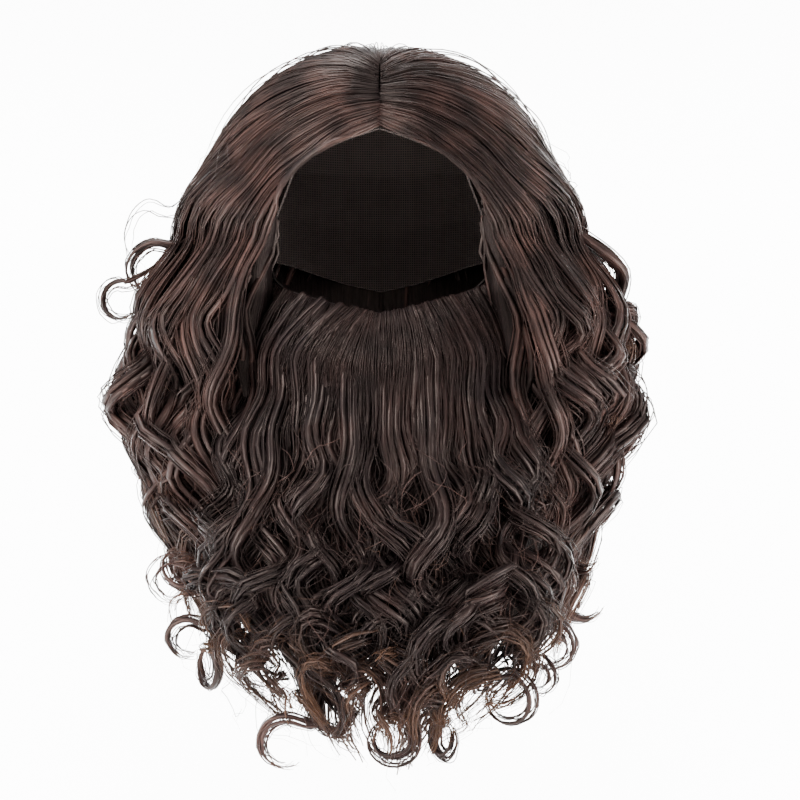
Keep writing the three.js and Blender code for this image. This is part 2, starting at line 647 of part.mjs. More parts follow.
// The elastic strap that ties a corner of the beard's cloth to the cap in front of the ear.
function strapSkins(side) {
  const halfTurn = THREE.MathUtils.radToDeg(STRAP.width / 2 / HEAD.side);
  const edge = rowAt(CAP_EDGE, "azimuth", STRAP.azimuth).polar;
  const edgeWay = direction(STRAP.azimuth, edge);
  const high = CROWN.z + edgeWay.z * eggRadius(CAP_OUTSIDE, edgeWay) + STRAP.lap;
  const low = JAW.top - JAW.height * rowAt(BEARD_EDGES, "azimuth", STRAP.azimuth).upper - STRAP.lap;
  const [outside, inside] = [[], []];
  for (let i = 0; i <= STRAP_STEPS; i += 1) {
    const z = lerp(high, low, i / STRAP_STEPS);
    const [ringOut, ringIn] = [[], []];
    for (const turn of [-halfTurn, 0, halfTurn]) {
      const seat = strapSeat(side * STRAP.azimuth + turn, z);
      ringOut.push(seat.clone().addScaledVector(awayFromAxis(seat), STRAP.thickness));
      ringIn.push(seat);
    }
    outside.push(ringOut);
    inside.push(ringIn);
  }
  return { outside, inside };
}

// Where the strap lies: the further out of the cap and the beard's cloth, and a gap more.
function strapSeat(azimuth, z) {
  const a = rad(azimuth);
  const rise = (z - CROWN.z) / (z > CROWN.z ? CAP_OUTSIDE.up : CAP_OUTSIDE.down);
  const ring = Math.sqrt(1 - rise * rise);
  const depth = Math.cos(a) > 0 ? CAP_OUTSIDE.front : CAP_OUTSIDE.back;
  const onCap = new THREE.Vector3(CAP_OUTSIDE.side * ring * Math.sin(a), -depth * ring * Math.cos(a), z);
  const onCloth = jawPlace(azimuth, z, BEARD_CLOTH);
  const seat = Math.abs(onCap.x) > Math.abs(onCloth.x) ? onCap : onCloth;
  return seat.addScaledVector(awayFromAxis(seat), GAP);
}

const HAIR = new THREE.MeshStandardMaterial({ color: "#35241f", roughness: 0.5, metalness: 0 });
const BEARD_HAIR = new THREE.MeshStandardMaterial({ color: "#33221e", roughness: 0.55, metalness: 0 });
const NET = new THREE.MeshStandardMaterial({ color: "#1c1614", roughness: 0.9, metalness: 0 });
const CLOTH = new THREE.MeshStandardMaterial({ color: "#241a17", roughness: 0.9, metalness: 0 });
const ELASTIC = new THREE.MeshStandardMaterial({ color: "#171312", roughness: 0.8, metalness: 0 });

const group = new THREE.Group();

function addPiece(name, solid, material) {
  const { vertProperties, triVerts } = solid.getMesh();
  const geometry = new THREE.BufferGeometry();
  geometry.setAttribute("position", new THREE.BufferAttribute(vertProperties, 3));
  geometry.setIndex(new THREE.BufferAttribute(triVerts, 1));
  const mesh = new THREE.Mesh(geometry, material);
  mesh.name = name;
  group.add(mesh);
}

function withCurls(name, solid) {
  return fused([solid, ...CURLS.filter((curl) => curl.on === name).map((curl) => ringCurl(curl))]);
}

const SIDES = [
  { name: "left", sign: -1 },
  { name: "right", sign: 1 },
];

addPiece("wig_cap", capSolid(), NET);
addPiece("parting_seam", sheetSolid(partingSkins()), CLOTH);
addPiece("beard_cloth", sheetSolid(beardClothSkins()), CLOTH);
for (const side of SIDES) addPiece(`beard_strap_${side.name}`, sheetSolid(strapSkins(side.sign)), ELASTIC);

const faceRoom = faceRoomSolid();
const highCurls = CURLS.filter((curl) => ringMiddle(curl).z + RING_CURL.radius > CROWN.z - CROWN_ENDS.length);
const besideTheCrown = fused([faceRoom, ...highCurls.map((curl) => ringCurl(curl, ROOM))]);
for (const side of SIDES) {
  const combed = sheetSolid(crownSkins(side.sign));
  addPiece(`crown_hair_${side.name}`, largest(combed.subtract(besideTheCrown)), HAIR);
}

addPiece("beard_top_hair", sheetSolid(beardTopSkins()), BEARD_HAIR);

const behindTheBeard = fused([sheetSolid(beardTopSkins(ROOM)), sheetSolid(jawRoomSkins())]);
for (const part of BEARD_PARTS) {
  const locks = sheetSolid(lockSkins(beardPlace, BEARD_ROWS, BEARD, BEARD_LOCK, part.from, part.to));
  addPiece(part.name, largest(withCurls(part.name, locks).subtract(behindTheBeard)), BEARD_HAIR);
}

const besideTheTresses = fused([sheetSolid(beardRoomSkins()), behindTheBeard, faceRoom]);
for (const tress of TRESSES) {
  const locks = sheetSolid(lockSkins(curtainPlace, CURTAIN_ROWS, CURTAIN, TRESS_LOCK, tress.from, tress.to));
  addPiece(tress.name, largest(withCurls(tress.name, locks).subtract(besideTheTresses)), HAIR);
}

export default group;
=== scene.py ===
"""A long curly wig with a full beard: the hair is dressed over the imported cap, cloth and straps."""
import math

import bpy
import numpy as np
from bpy.props import FloatProperty, FloatVectorProperty, IntProperty, PointerProperty
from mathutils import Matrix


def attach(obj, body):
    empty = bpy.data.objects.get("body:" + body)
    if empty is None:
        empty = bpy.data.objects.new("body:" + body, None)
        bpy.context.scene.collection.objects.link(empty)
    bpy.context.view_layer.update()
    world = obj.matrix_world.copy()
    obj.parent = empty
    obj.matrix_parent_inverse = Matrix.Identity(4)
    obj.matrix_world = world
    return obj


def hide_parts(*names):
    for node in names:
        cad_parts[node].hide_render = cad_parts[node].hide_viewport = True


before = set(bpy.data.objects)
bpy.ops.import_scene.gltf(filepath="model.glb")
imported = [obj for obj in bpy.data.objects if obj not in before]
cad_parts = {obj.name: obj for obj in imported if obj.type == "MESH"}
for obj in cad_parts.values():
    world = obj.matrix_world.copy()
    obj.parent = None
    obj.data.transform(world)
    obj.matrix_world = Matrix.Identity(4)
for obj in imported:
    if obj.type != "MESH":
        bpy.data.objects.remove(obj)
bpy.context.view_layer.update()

bl_info = {
    "name": "Curly wig and beard",
    "version": (1, 0, 0),
    "blender": (4, 5, 0),
    "location": "View3D > Sidebar > Wig",
    "description": "Dresses the wig's cap and the beard's cloth with combed, waved and curled hair",
    "category": "Object",
}

MM = 0.001

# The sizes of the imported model, in millimetres. The origin is the inside of the cap's crown.
HEAD = {"side": 76, "front": 92, "back": 100, "up": 105, "down": 230}
CAP_WALL = 1.5
CROWN = np.array([0.0, 0.0, -HEAD["up"]])
CROWN_OUTSIDE = {"side": 122.5, "front": 102.5, "back": 123.5, "up": 120, "down": 230}
FACE = {"top": -48, "half_width": 68, "height": 100}
PARTING = {"dip": 6, "fade": 30}
CURTAIN = {"top": -105.4, "length": 286, "side": 148, "front": 108, "back": 128}
JAW = {"top": -130, "height": 132, "side": 70, "front": 100, "back": 60}
BEARD = {"top": -206, "length": 254, "side": 120, "front": 137, "sweep": 62}
BEARD_TOP = {"edge": 3.5, "rise": 24, "reach": 71}

FACE_OUTLINE = (
    {"out": 0, "down": 0},
    {"out": 0.42, "down": 0.09},
    {"out": 0.66, "down": 0.18},
    {"out": 0.86, "down": 0.28},
    {"out": 0.97, "down": 0.42},
    {"out": 1, "down": 0.6},
    {"out": 1, "down": 1},
)
CURTAIN_ROWS = (
    {"drop": 0, "side": 0.76, "front": 0.86, "back": 0.89},
    {"drop": 0.06, "side": 0.84, "front": 0.93, "back": 0.94},
    {"drop": 0.23, "side": 1, "front": 1, "back": 1},
    {"drop": 0.52, "side": 1, "front": 1, "back": 0.98},
    {"drop": 0.68, "side": 0.9, "front": 0.98, "back": 0.93},
    {"drop": 1, "side": 0.78, "front": 0.9, "back": 0.8},
)
JAW_ROWS = (
    {"drop": 0, "side": 1.05, "front": 0.92, "back": 1},
    {"drop": 0.3, "side": 1.01, "front": 0.98, "back": 1},
    {"drop": 0.55, "side": 0.94, "front": 1, "back": 1},
    {"drop": 0.8, "side": 0.8, "front": 1, "back": 1},
    {"drop": 1, "side": 0.68, "front": 0.86, "back": 1},
)
BEARD_EDGE = (
    {"azimuth": 0, "upper": 0.305},
    {"azimuth": 12, "upper": 0.28},
    {"azimuth": 34, "upper": 0.225},
    {"azimuth": 66, "upper": 0.15},
    {"azimuth": 88, "upper": 0.06},
)
BEARD_TOP_ROWS = (
    {"down": 0, "rise": 0.1},
    {"down": 0.2, "rise": 0.36},
    {"down": 0.5, "rise": 0.78},
    {"down": 0.8, "rise": 1},
    {"down": 1, "rise": 0.9},
)
BEARD_ROWS = (
    {"drop": 0, "side": 0.76, "front": 0.88, "sweep": 1},
    {"drop": 0.16, "side": 0.87, "front": 0.97, "sweep": 0.95},
    {"drop": 0.38, "side": 0.95, "front": 1, "sweep": 0.85},
    {"drop": 0.6, "side": 1, "front": 0.99, "sweep": 0.75},
    {"drop": 0.78, "side": 0.92, "front": 0.94, "sweep": 0.65},
    {"drop": 0.92, "side": 0.68, "front": 0.86, "sweep": 0.5},
    {"drop": 1, "side": 0.42, "front": 0.79, "sweep": 0.35},
)
# How the crown hair is combed: where a strand leaves the parting, as a polar angle towards the face, and the
# azimuth at which it comes down
CROWN_FLOW = (
    {"flow": 0, "start": 52, "azimuth": 42},
    {"flow": 2, "start": 42, "azimuth": 66},
    {"flow": 4, "start": 33, "azimuth": 96},
    {"flow": 6, "start": 27, "azimuth": 134},
    {"flow": 8, "start": 24, "azimuth": 180},
)

# Layers of locks, from the outermost in: how far out they lie, how many locks there are on a side of the wig
# or in the beard, how many flat bundles and single hairs a lock has, half its width and thickness, its wave,
# how far down it hangs as a share of the full length, and whether it starts at the parting or at the beard's
# upper edge
WIG_LAYERS = (
    {"name": "outer", "lift": 4, "locks": 21, "bundles": 7, "hairs": 17, "width": 11, "depth": 7,
     "wave": 15, "reach": 1, "rooted": True},
    {"name": "middle", "lift": -13, "locks": 18, "bundles": 6, "hairs": 0, "width": 12, "depth": 7,
     "wave": 13, "reach": 0.98, "rooted": False},
    {"name": "inner", "lift": -28, "locks": 13, "bundles": 3, "hairs": 0, "width": 12, "depth": 7,
     "wave": 9, "reach": 0.92, "rooted": False},
)
BEARD_LAYERS = (
    {"name": "outer", "lift": 3, "locks": 18, "bundles": 8, "hairs": 20, "width": 10, "depth": 6,
     "wave": 12, "reach": 1, "rooted": True},
    {"name": "middle", "lift": -12, "locks": 18, "bundles": 7, "hairs": 6, "width": 11, "depth": 6,
     "wave": 12, "reach": 1.05, "rooted": False},
    {"name": "inner", "lift": -27, "locks": 15, "bundles": 5, "hairs": 0, "width": 12, "depth": 6,
     "wave": 9, "reach": 1.05, "rooted": False},
)
# Shorter locks that come out from between the lengths and curl outside them: their number on a side of the
# wig or in the beard, what each is made of, the range of heights at which they start, and of their lengths
WIG_SHORT_LOCKS = {"locks": 15, "bundles": 6, "hairs": 12, "width": 8, "depth": 6, "wave": 13,
                   "high": -66, "low": -190, "short": 110, "long": 190}
BEARD_SHORT_LOCKS = {"locks": 11, "bundles": 5, "hairs": 11, "width": 8, "depth": 5, "wave": 11,
                     "high": -262, "low": -330, "short": 90, "long": 140}
# How much a wig lock waves and stands off by its azimuth: little beside the face and most at the sides
FULLNESS = (
    {"azimuth": 40, "wave": 0.55, "off": -1},
    {"azimuth": 62, "wave": 0.95, "off": 5},
    {"azimuth": 85, "wave": 1.2, "off": 15},
    {"azimuth": 110, "wave": 1.15, "off": 12},
    {"azimuth": 140, "wave": 1, "off": 4},
    {"azimuth": 180, "wave": 0.95, "off": 1},
)
# How much more than "off" the hair stands off where it goes over from the crown into the lengths
CROWN_RISE = 1.3
# Half the width and thickness of a lock at the parting or at the beard's edge, where it is combed flat
COMBED_FLAT = {"start": 5, "low": 1.2}
# The thickness of a flat bundle of fibres, and the size of those in the curls of the outline
BUNDLE_DEPTH = 1.2
CURL_BUNDLE = {"width": 3.6, "depth": 1.6}
# The height at which the beard's locks leave the smooth hair over the cloth
BEARD_HANGS_FROM = -200.0
# The side of a single hair that its first edge faces
HAIR_FACES = np.array([0.36, -0.8, 0.48])
# Where the random draws of each kind of hair start
SEEDS = {"lengths": 100, "combed": 200, "beard": 300, "smooth": 350, "curls": 400, "loose": 500, "short": 600,
         "beard_short": 650}
MOST_TRIANGLES = 200_000

# Curls that stand out of the outline: the middle of the ring and its radius in millimetres, how far it turns
# from where it begins in degrees (0 is towards +X and 90 up), and how many flat bundles and hairs it has
OUTLINE_CURLS = (
    {"x": -158, "y": -14, "z": -118, "radius": 24, "begin": 80, "turn": 190, "bundles": 0, "hairs": 4},
    {"x": -176, "y": -20, "z": -160, "radius": 13, "begin": 95, "turn": 300, "bundles": 1, "hairs": 9},
    {"x": -152, "y": -14, "z": -140, "radius": 20, "begin": 90, "turn": 170, "bundles": 2, "hairs": 10},
    {"x": -154, "y": -22, "z": -188, "radius": 22, "begin": 90, "turn": 290, "bundles": 4, "hairs": 14},
    {"x": -154, "y": -18, "z": -246, "radius": 23, "begin": 10, "turn": -320, "bundles": 4, "hairs": 14},
    {"x": -150, "y": -30, "z": -214, "radius": 27, "begin": 70, "turn": 250, "bundles": 2, "hairs": 6},
    {"x": -138, "y": -24, "z": -300, "radius": 17, "begin": 90, "turn": 240, "bundles": 2, "hairs": 9},
    {"x": -132, "y": -30, "z": -338, "radius": 15, "begin": 10, "turn": -330, "bundles": 3, "hairs": 10},
    {"x": -140, "y": -26, "z": -350, "radius": 16, "begin": 100, "turn": 200, "bundles": 1, "hairs": 7},
    {"x": -128, "y": -40, "z": -388, "radius": 14, "begin": 80, "turn": 240, "bundles": 3, "hairs": 9},
    {"x": -115, "y": -52, "z": -404, "radius": 13, "begin": 20, "turn": -300, "bundles": 3, "hairs": 9},
    {"x": 162, "y": -18, "z": -190, "radius": 16, "begin": 170, "turn": 230, "bundles": 3, "hairs": 10},
    {"x": 150, "y": -26, "z": -222, "radius": 24, "begin": 90, "turn": -320, "bundles": 4, "hairs": 14},
    {"x": 151, "y": -14, "z": -272, "radius": 21, "begin": 85, "turn": -280, "bundles": 3, "hairs": 8},
    {"x": 156, "y": -30, "z": -228, "radius": 22, "begin": 100, "turn": -260, "bundles": 2, "hairs": 6},
    {"x": 138, "y": -24, "z": -328, "radius": 16, "begin": 170, "turn": 190, "bundles": 3, "hairs": 9},
    {"x": 140, "y": -22, "z": -362, "radius": 15, "begin": 170, "turn": 170, "bundles": 3, "hairs": 9},
    {"x": 112, "y": -52, "z": -392, "radius": 17, "begin": 90, "turn": -250, "bundles": 3, "hairs": 9},
    {"x": 106, "y": -70, "z": -410, "radius": 12, "begin": 100, "turn": -260, "bundles": 2, "hairs": 8},
    {"x": -60, "y": -104, "z": -452, "radius": 18, "begin": 80, "turn": 230, "bundles": 4, "hairs": 10},
    {"x": -29, "y": -108, "z": -431, "radius": 12, "begin": 170, "turn": 300, "bundles": 3, "hairs": 10},
    {"x": 8, "y": -110, "z": -448, "radius": 14, "begin": 10, "turn": -340, "bundles": 4, "hairs": 12},
    {"x": 43, "y": -106, "z": -447, "radius": 12, "begin": 170, "turn": 290, "bundles": 4, "hairs": 10},
    {"x": 85, "y": -92, "z": -423, "radius": 18, "begin": 90, "turn": -310, "bundles": 3, "hairs": 9},
)

# The stage, in metres and watts: what the picture is centred on, the bent paper, and the square soft lights,
# which are aimed at the middle of the picture unless "to" says otherwise
PICTURE_MIDDLE = (0.0136, -0.02, -0.2264)
PAPER = {"width": 14, "front": -6, "back": 4.4, "height": 6, "bend": 1.2}
SENSOR_WIDTH = 36
LIGHTS = (
    {"name": "backdrop_left", "at": (-1.5, 2.3, 0.2), "to": (-0.5, 4.4, -0.4), "size": 1.0, "power": 440},
    {"name": "backdrop_right", "at": (1.5, 2.3, 0.2), "to": (0.5, 4.4, -0.4), "size": 1.0, "power": 440},
    {"name": "key", "at": (-1.15, -1.15, 1.2), "size": 0.6, "power": 50},
    {"name": "fill", "at": (1.2, -1.5, 0.2), "size": 0.9, "power": 8},
    {"name": "top", "at": (-0.25, 0.2, 1.2), "size": 0.7, "power": 22},
    {"name": "side_left", "at": (-1.5, -0.7, -0.55), "size": 0.8, "power": 37},
    {"name": "side_right", "at": (1.5, -0.7, -0.55), "size": 0.8, "power": 44},
    {"name": "rim", "at": (0.4, 1.5, 0.7), "size": 1.4, "power": 8},
)


# Shapes of the head and of the hair

def row_at(rows, column, at):
    """The rows of a table interpolated at places between them."""
    places = [row[column] for row in rows]
    return {key: np.interp(at, places, [row[key] for row in rows]) for key in rows[0] if key != column}


def smooth(x, low, high):
    t = np.clip((x - low) / (high - low), 0, 1)
    return t * t * (3 - 2 * t)


def mix(a, b, share):
    return a + (b - a) * share


def unit(vectors):
    return vectors / np.maximum(np.linalg.norm(vectors, axis=-1, keepdims=True), 1e-9)


def direction(azimuth, polar):
    """From the middle of the head: azimuth from the face towards +X, polar angle from straight up."""
    a, p = np.radians(azimuth), np.radians(polar)
    a, p = np.broadcast_arrays(a, p)
    return np.stack([np.sin(p) * np.sin(a), -np.sin(p) * np.cos(a), np.cos(p)], -1)


def egg_radius(egg, way):
    depth = np.where(way[..., 1] < 0, egg["front"], egg["back"])
    tall = np.where(way[..., 2] > 0, egg["up"], egg["down"])
    x, y, z = way[..., 0] / egg["side"], way[..., 1] / depth, way[..., 2] / tall
    return 1 / np.sqrt(x**2 + y**2 + z**2)


def parting_open(way):
    """How open the parting is: fully over the forehead, and closed by the hair from the crown backwards."""
    return smooth(-way[..., 1], 0.34, 0.56)


def crown_radius(way):
    """The outside of the combed hair, which dips towards the parting."""
    full = egg_radius(CROWN_OUTSIDE, way)
    in_parting = 1 - smooth(np.abs(way[..., 0]) * full, 0, PARTING["fade"])
    dip = PARTING["dip"] * mix(0.25, 1, parting_open(way))
    return full - dip * in_parting * smooth(way[..., 2], 0.1, 0.6)


def dome_place(side, flow, share, lift):
    """A place on the combed crown: share runs from the parting down to the level of the temples."""
    flow, share, lift = np.broadcast_arrays(flow, share, lift)
    at = row_at(CROWN_FLOW, "flow", flow)
    start = direction(np.zeros_like(at["start"]), at["start"])
    end = direction(side * at["azimuth"], np.full_like(at["azimuth"], 90.0))
    angle = np.arccos(np.clip((start * end).sum(-1), -1, 1))[..., None]
    turn = share[..., None]
    way = unit(np.sin((1 - turn) * angle) * start + np.sin(turn * angle) * end)
    place = CROWN + way * (crown_radius(way) + lift)[..., None]
    least = mix(-5, 0.7, parting_open(way))
    place[..., 0] = side * np.maximum(side * place[..., 0], least)
    return place


def round_place(rows, sizes, azimuth, z, out, length):
    at = row_at(rows, "drop", (sizes["top"] - z) / length)
    a = np.radians(azimuth)
    depth = np.where(np.cos(a) > 0, sizes["front"] * at["front"], sizes["back"] * at["back"])
    x = (sizes["side"] * at["side"] + out) * np.sin(a)
    return np.stack(np.broadcast_arrays(x, -(depth + out) * np.cos(a), z), -1)


def curtain_place(azimuth, z, out):
    """A place on the hanging lengths of the wig."""
    place = round_place(CURTAIN_ROWS, CURTAIN, azimuth, z, out, CURTAIN["length"])
    join = 1 - smooth(CURTAIN["top"] - z, -10, 36)
    level = CROWN + direction(azimuth, np.full_like(azimuth, 90.0)) * (
        egg_radius(CROWN_OUTSIDE, direction(azimuth, np.full_like(azimuth, 90.0)))[..., None]
    )
    level = level + unit(level - CROWN) * out[..., None]
    return np.concatenate([mix(place[..., :2], level[..., :2], join[..., None]), place[..., 2:]], -1)


def jaw_place(azimuth, z, out):
    return round_place(JAW_ROWS, JAW, azimuth, z, out, JAW["height"])


def beard_place(across, z, out):
    """A place on the hanging beard: across runs from -1 on the left to 1 on the right."""
    at = row_at(BEARD_ROWS, "drop", (BEARD["top"] - z) / BEARD["length"])
    half, sweep = BEARD["side"] * at["side"], BEARD["sweep"] * at["sweep"]
    away = unit(np.stack(np.broadcast_arrays(2 * sweep * across, -half, 0.0 * z), -1))
    middle = np.stack(
        np.broadcast_arrays(half * across, sweep * across**2 - BEARD["front"] * at["front"], z), -1
    )
    return middle + away * np.asarray(out)[..., None]


def beard_top_place(across, z, out):
    """A place on the beard from its upper edge, over the smooth hair and down on to the hanging beard."""
    azimuth = across * BEARD_TOP["reach"]
    edge = beard_edge(across)
    down = np.clip((edge - z) / 70, 0, 1)
    rise = BEARD_TOP["edge"] + BEARD_TOP["rise"] * row_at(BEARD_TOP_ROWS, "down", down)["rise"]
    on_top = jaw_place(azimuth, z, rise + out)
    below = beard_place(across, z, out)
    return mix(on_top, below, smooth(-z, 190, 250)[..., None])


def beard_edge(across):
    azimuth = np.abs(across) * BEARD_TOP["reach"]
    return JAW["top"] - JAW["height"] * row_at(BEARD_EDGE, "azimuth", azimuth)["upper"]


def crown_rise(flow, share):
    """How far the combed hair stands off where it goes over into the fuller lengths."""
    off = row_at(FULLNESS, "azimuth", row_at(CROWN_FLOW, "flow", flow)["azimuth"])["off"]
    return CROWN_RISE * off * smooth(share, 0.68, 1.02)


def clear_of_face(places, margin):
    """Hair in front of the face is drawn aside to the edge of the opening, and stays beside it below."""
    x, z = np.abs(places[..., 0]), places[..., 2]
    outs, downs = ([row[key] for row in FACE_OUTLINE] for key in ("out", "down"))
    down = (FACE["top"] - z) / FACE["height"]
    half = np.interp(down, downs + [1.35, 1.9], outs + [0.95, 0.5]) * FACE["half_width"]
    edge_down = np.interp(x / FACE["half_width"], outs[:6], downs[:6])
    inside = (down > edge_down) & (down < 1.9) & (x < half) & (places[..., 1] < -20)
    up = (down - edge_down) * FACE["height"]
    aside = half - x
    go_aside = smooth(np.where(inside, up / np.maximum(up + aside, 1e-6), 0), 0.3, 0.7)
    moved = places.copy()
    moved[..., 2] += np.where(inside, (up + margin) * (1 - go_aside), 0)
    moved[..., 0] += np.where(inside, np.sign(places[..., 0]) * (aside + margin) * go_aside, 0)
    return moved


def clear_of_cap(places, margin):
    way = unit(places - CROWN)
    cap = {key: HEAD[key] + CAP_WALL for key in HEAD}
    least = egg_radius(cap, way) + margin
    radius = np.linalg.norm(places - CROWN, axis=-1)
    return CROWN + way * np.maximum(radius, least)[..., None]


# Meshes from arrays

def carried_frames(paths, first):
    """Two directions square to each path, carried along it without twist from a first one across it."""
    along = unit(np.gradient(paths, axis=1))
    across = np.zeros_like(paths)
    for i in range(paths.shape[1]):
        before = first if i == 0 else across[:, i - 1]
        across[:, i] = unit(before - along[:, i] * (before * along[:, i]).sum(-1, keepdims=True))
    return across, np.cross(along, across)


def tube_mesh(paths, outward, half_width, half_depth, sides, seeds):
    """Closed tubes along paths (tubes, steps, 3), pointed at both ends, whose flat side faces "outward"."""
    tubes, steps = paths.shape[:2]
    along = unit(np.gradient(paths, axis=1))
    upright = unit(outward - along * (outward * along).sum(-1, keepdims=True))
    across = np.cross(upright, along)
    angles = 2 * np.pi * np.arange(sides) / sides
    wall = (
        paths[:, :, None]
        + across[:, :, None] * (np.cos(angles) * half_width[:, :, None])[..., None]
        + upright[:, :, None] * (np.sin(angles) * half_depth[:, :, None])[..., None]
    )
    point = along * half_width[:, :, None]
    ends = [paths[:, :1] - point[:, :1], paths[:, -1:] + point[:, -1:]]
    points = np.concatenate([wall.reshape(tubes, -1, 3), *ends], 1).reshape(-1, 3)
    first = (np.arange(tubes) * (steps * sides + 2))[:, None, None]
    i, k = np.meshgrid(np.arange(steps - 1), np.arange(sides), indexing="ij")
    corners = [(i, k), (i, k + 1), (i + 1, k + 1), (i + 1, k)]
    quads = np.stack([a * sides + b % sides for a, b in corners], -1)[None] + first[..., None]
    k, last = np.arange(sides), (steps - 1) * sides
    top = np.stack([k * 0 + steps * sides, (k + 1) % sides, k], -1)[None] + first
    bottom = np.stack([k * 0 + steps * sides + 1, last + k, last + (k + 1) % sides], -1)[None] + first

    share = np.arange(sides + 1) / sides
    slot = np.arange(tubes)[:, None]
    length = steps + 1
    quad_uv = np.stack([
        np.stack(np.broadcast_arrays(
            (slot[..., None] + 0.05 + 0.9 * share[b][None]) / tubes, ((a + 1) / length)[None]), -1)
        for a, b in corners], -2)
    around = 2 * half_width.max(1)[:, None, None]
    quad_fibre = np.stack([
        np.stack(np.broadcast_arrays(
            seeds[:, None, None] + around * share[b][None], ((a + 1) / length)[None]), -1)
        for a, b in corners], -2)

    def end_map(row_uv, middle, fibre):
        order = [(k + 0.5, middle), *row_uv]
        across_map = [
            seeds[:, None] + around[:, 0] * b / sides if fibre else (slot + 0.05 + 0.9 * b / sides) / tubes
            for b, _ in order]
        return np.stack([
            np.stack(np.broadcast_arrays(u, v), -1) for u, (_, v) in zip(across_map, order)], -2)

    top_row = [(k + 1, 1 / length), (k, 1 / length)]
    bottom_row = [(k, steps / length), (k + 1, steps / length)]
    return {
        "points": points,
        "quads": quads.reshape(-1, 4),
        "tris": np.concatenate([top.reshape(-1, 3), bottom.reshape(-1, 3)]),
        "quad_maps": [quad_uv.reshape(-1, 4, 2), quad_fibre.reshape(-1, 4, 2)],
        "tri_maps": [
            np.concatenate([
                end_map(row, middle, fibre).reshape(-1, 3, 2)
                for row, middle in ((top_row, 0.0), (bottom_row, 1.0))])
            for fibre in (False, True)],
    }


def sheet_mesh(outside, inside):
    """A closed sheet between an outer and an inner grid of places (rows, columns, 3)."""
    rows, columns = outside.shape[:2]
    points = np.concatenate([outside.reshape(-1, 3), inside.reshape(-1, 3)])
    quads, uvs = [], []

    def place(skin, i, j):
        return skin * rows * columns + i * columns + j

    i, j = np.meshgrid(np.arange(rows - 1), np.arange(columns - 1), indexing="ij")
    i, j = i.ravel(), j.ravel()

    def grid_uv(a, b, skin):
        return np.stack([(b / (columns - 1) * 0.94 + 0.01) / 2 + skin / 2, a / (rows - 1)], -1)

    outer_face = [(i, j), (i + 1, j), (i + 1, j + 1), (i, j + 1)]
    inner_face = [(i, j), (i, j + 1), (i + 1, j + 1), (i + 1, j)]
    for skin, corners in enumerate((outer_face, inner_face)):
        quads.append(np.stack([place(skin, a, b) for a, b in corners], -1))
        uvs.append(np.stack([grid_uv(a, b, skin) for a, b in corners], 1))
    for end, turned in ((0, False), (columns - 1, True)):
        i = np.arange(rows - 1)
        face = [place(0, i, end), place(1, i, end), place(1, i + 1, end), place(0, i + 1, end)]
        strip = 0.475 + end / (columns - 1) * 0.5
        near, far = np.full(rows - 1, strip), np.full(rows - 1, strip + 0.02)
        corner = [(near, i), (far, i), (far, i + 1), (near, i + 1)]
        if turned:
            face, corner = face[::-1], corner[::-1]
        quads.append(np.stack(face, -1))
        uvs.append(np.stack([np.stack([a, b / (rows - 1)], -1) for a, b in corner], 1))
    for end, turned in ((0, True), (rows - 1, False)):
        j = np.arange(columns - 1)
        face = [place(0, end, j), place(1, end, j), place(1, end, j + 1), place(0, end, j + 1)]
        level = 0.0 if end == 0 else 0.995
        corner = [(j, level), (j, level + 0.005), (j + 1, level + 0.005), (j + 1, level)]
        if turned:
            face, corner = face[::-1], corner[::-1]
        quads.append(np.stack(face, -1))
        uvs.append(np.stack([
            np.stack([a / (columns - 1) * 0.47, np.full(columns - 1, b)], -1) for a, b in corner], 1))
    return {
        "points": points,
        "quads": np.concatenate(quads),
        "tris": np.zeros((0, 3), int),
        "quad_maps": [np.concatenate(uvs), np.concatenate(uvs) * [700.0, 1.0]],
        "tri_maps": [np.zeros((0, 3, 2))] * 2,
    }


def make_piece(name, parts, material, replaced=()):
    """One piece joined from meshes, with its places in metres and its UVs in a map of its own."""
    counts = np.cumsum([0] + [len(part["points"]) for part in parts])
    points = np.concatenate([part["points"] for part in parts]) * MM
    quads = np.concatenate([part["quads"] + n for part, n in zip(parts, counts)])
    tris = np.concatenate([part["tris"] + n for part, n in zip(parts, counts)])
    mesh = bpy.data.meshes.new(name)
    mesh.vertices.add(len(points))
    mesh.vertices.foreach_set("co", points.astype(np.float32).ravel())
    corners = np.concatenate([quads.ravel(), tris.ravel()])
    mesh.loops.add(len(corners))
    mesh.loops.foreach_set("vertex_index", corners.astype(np.int32))
    starts = np.concatenate([np.arange(len(quads)) * 4, len(quads) * 4 + np.arange(len(tris)) * 3])
    mesh.polygons.add(len(starts))
    mesh.polygons.foreach_set("loop_start", starts.astype(np.int32))
    lanes = np.cumsum([0] + [len(part["points"]) for part in parts]) / len(points)
    for n, name_of_map in enumerate(("OFBake", "fibre")):
        quad_map = [part["quad_maps"][n].copy() for part in parts]
        tri_map = [part["tri_maps"][n].copy() for part in parts]
        if n == 0:
            for lane, width, maps in zip(lanes, np.diff(lanes), zip(quad_map, tri_map)):
                for corners_of in maps:
                    corners_of[..., 0] = lane + corners_of[..., 0] * width
        layer = mesh.uv_layers.new(name=name_of_map)
        uv = np.concatenate([part.reshape(-1, 2) for part in quad_map + tri_map])
        layer.data.foreach_set("uv", uv.astype(np.float32).ravel())
    mesh.update(calc_edges=True)
    mesh.validate()
    mesh.polygons.foreach_set("use_smooth", np.ones(len(mesh.polygons), bool))
    piece = bpy.data.objects.new(name, mesh)
    bpy.context.scene.collection.objects.link(piece)
    mesh.materials.append(material)
    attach(piece, "root")
    if replaced:
        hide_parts(*replaced)
    triangles = 2 * len(quads) + len(tris)
    print(f"{name}: {triangles} triangles")
    if triangles > MOST_TRIANGLES:
        raise RuntimeError(f"{name} has {triangles} triangles, which is more than a piece may have")
    return piece


# How hair moves

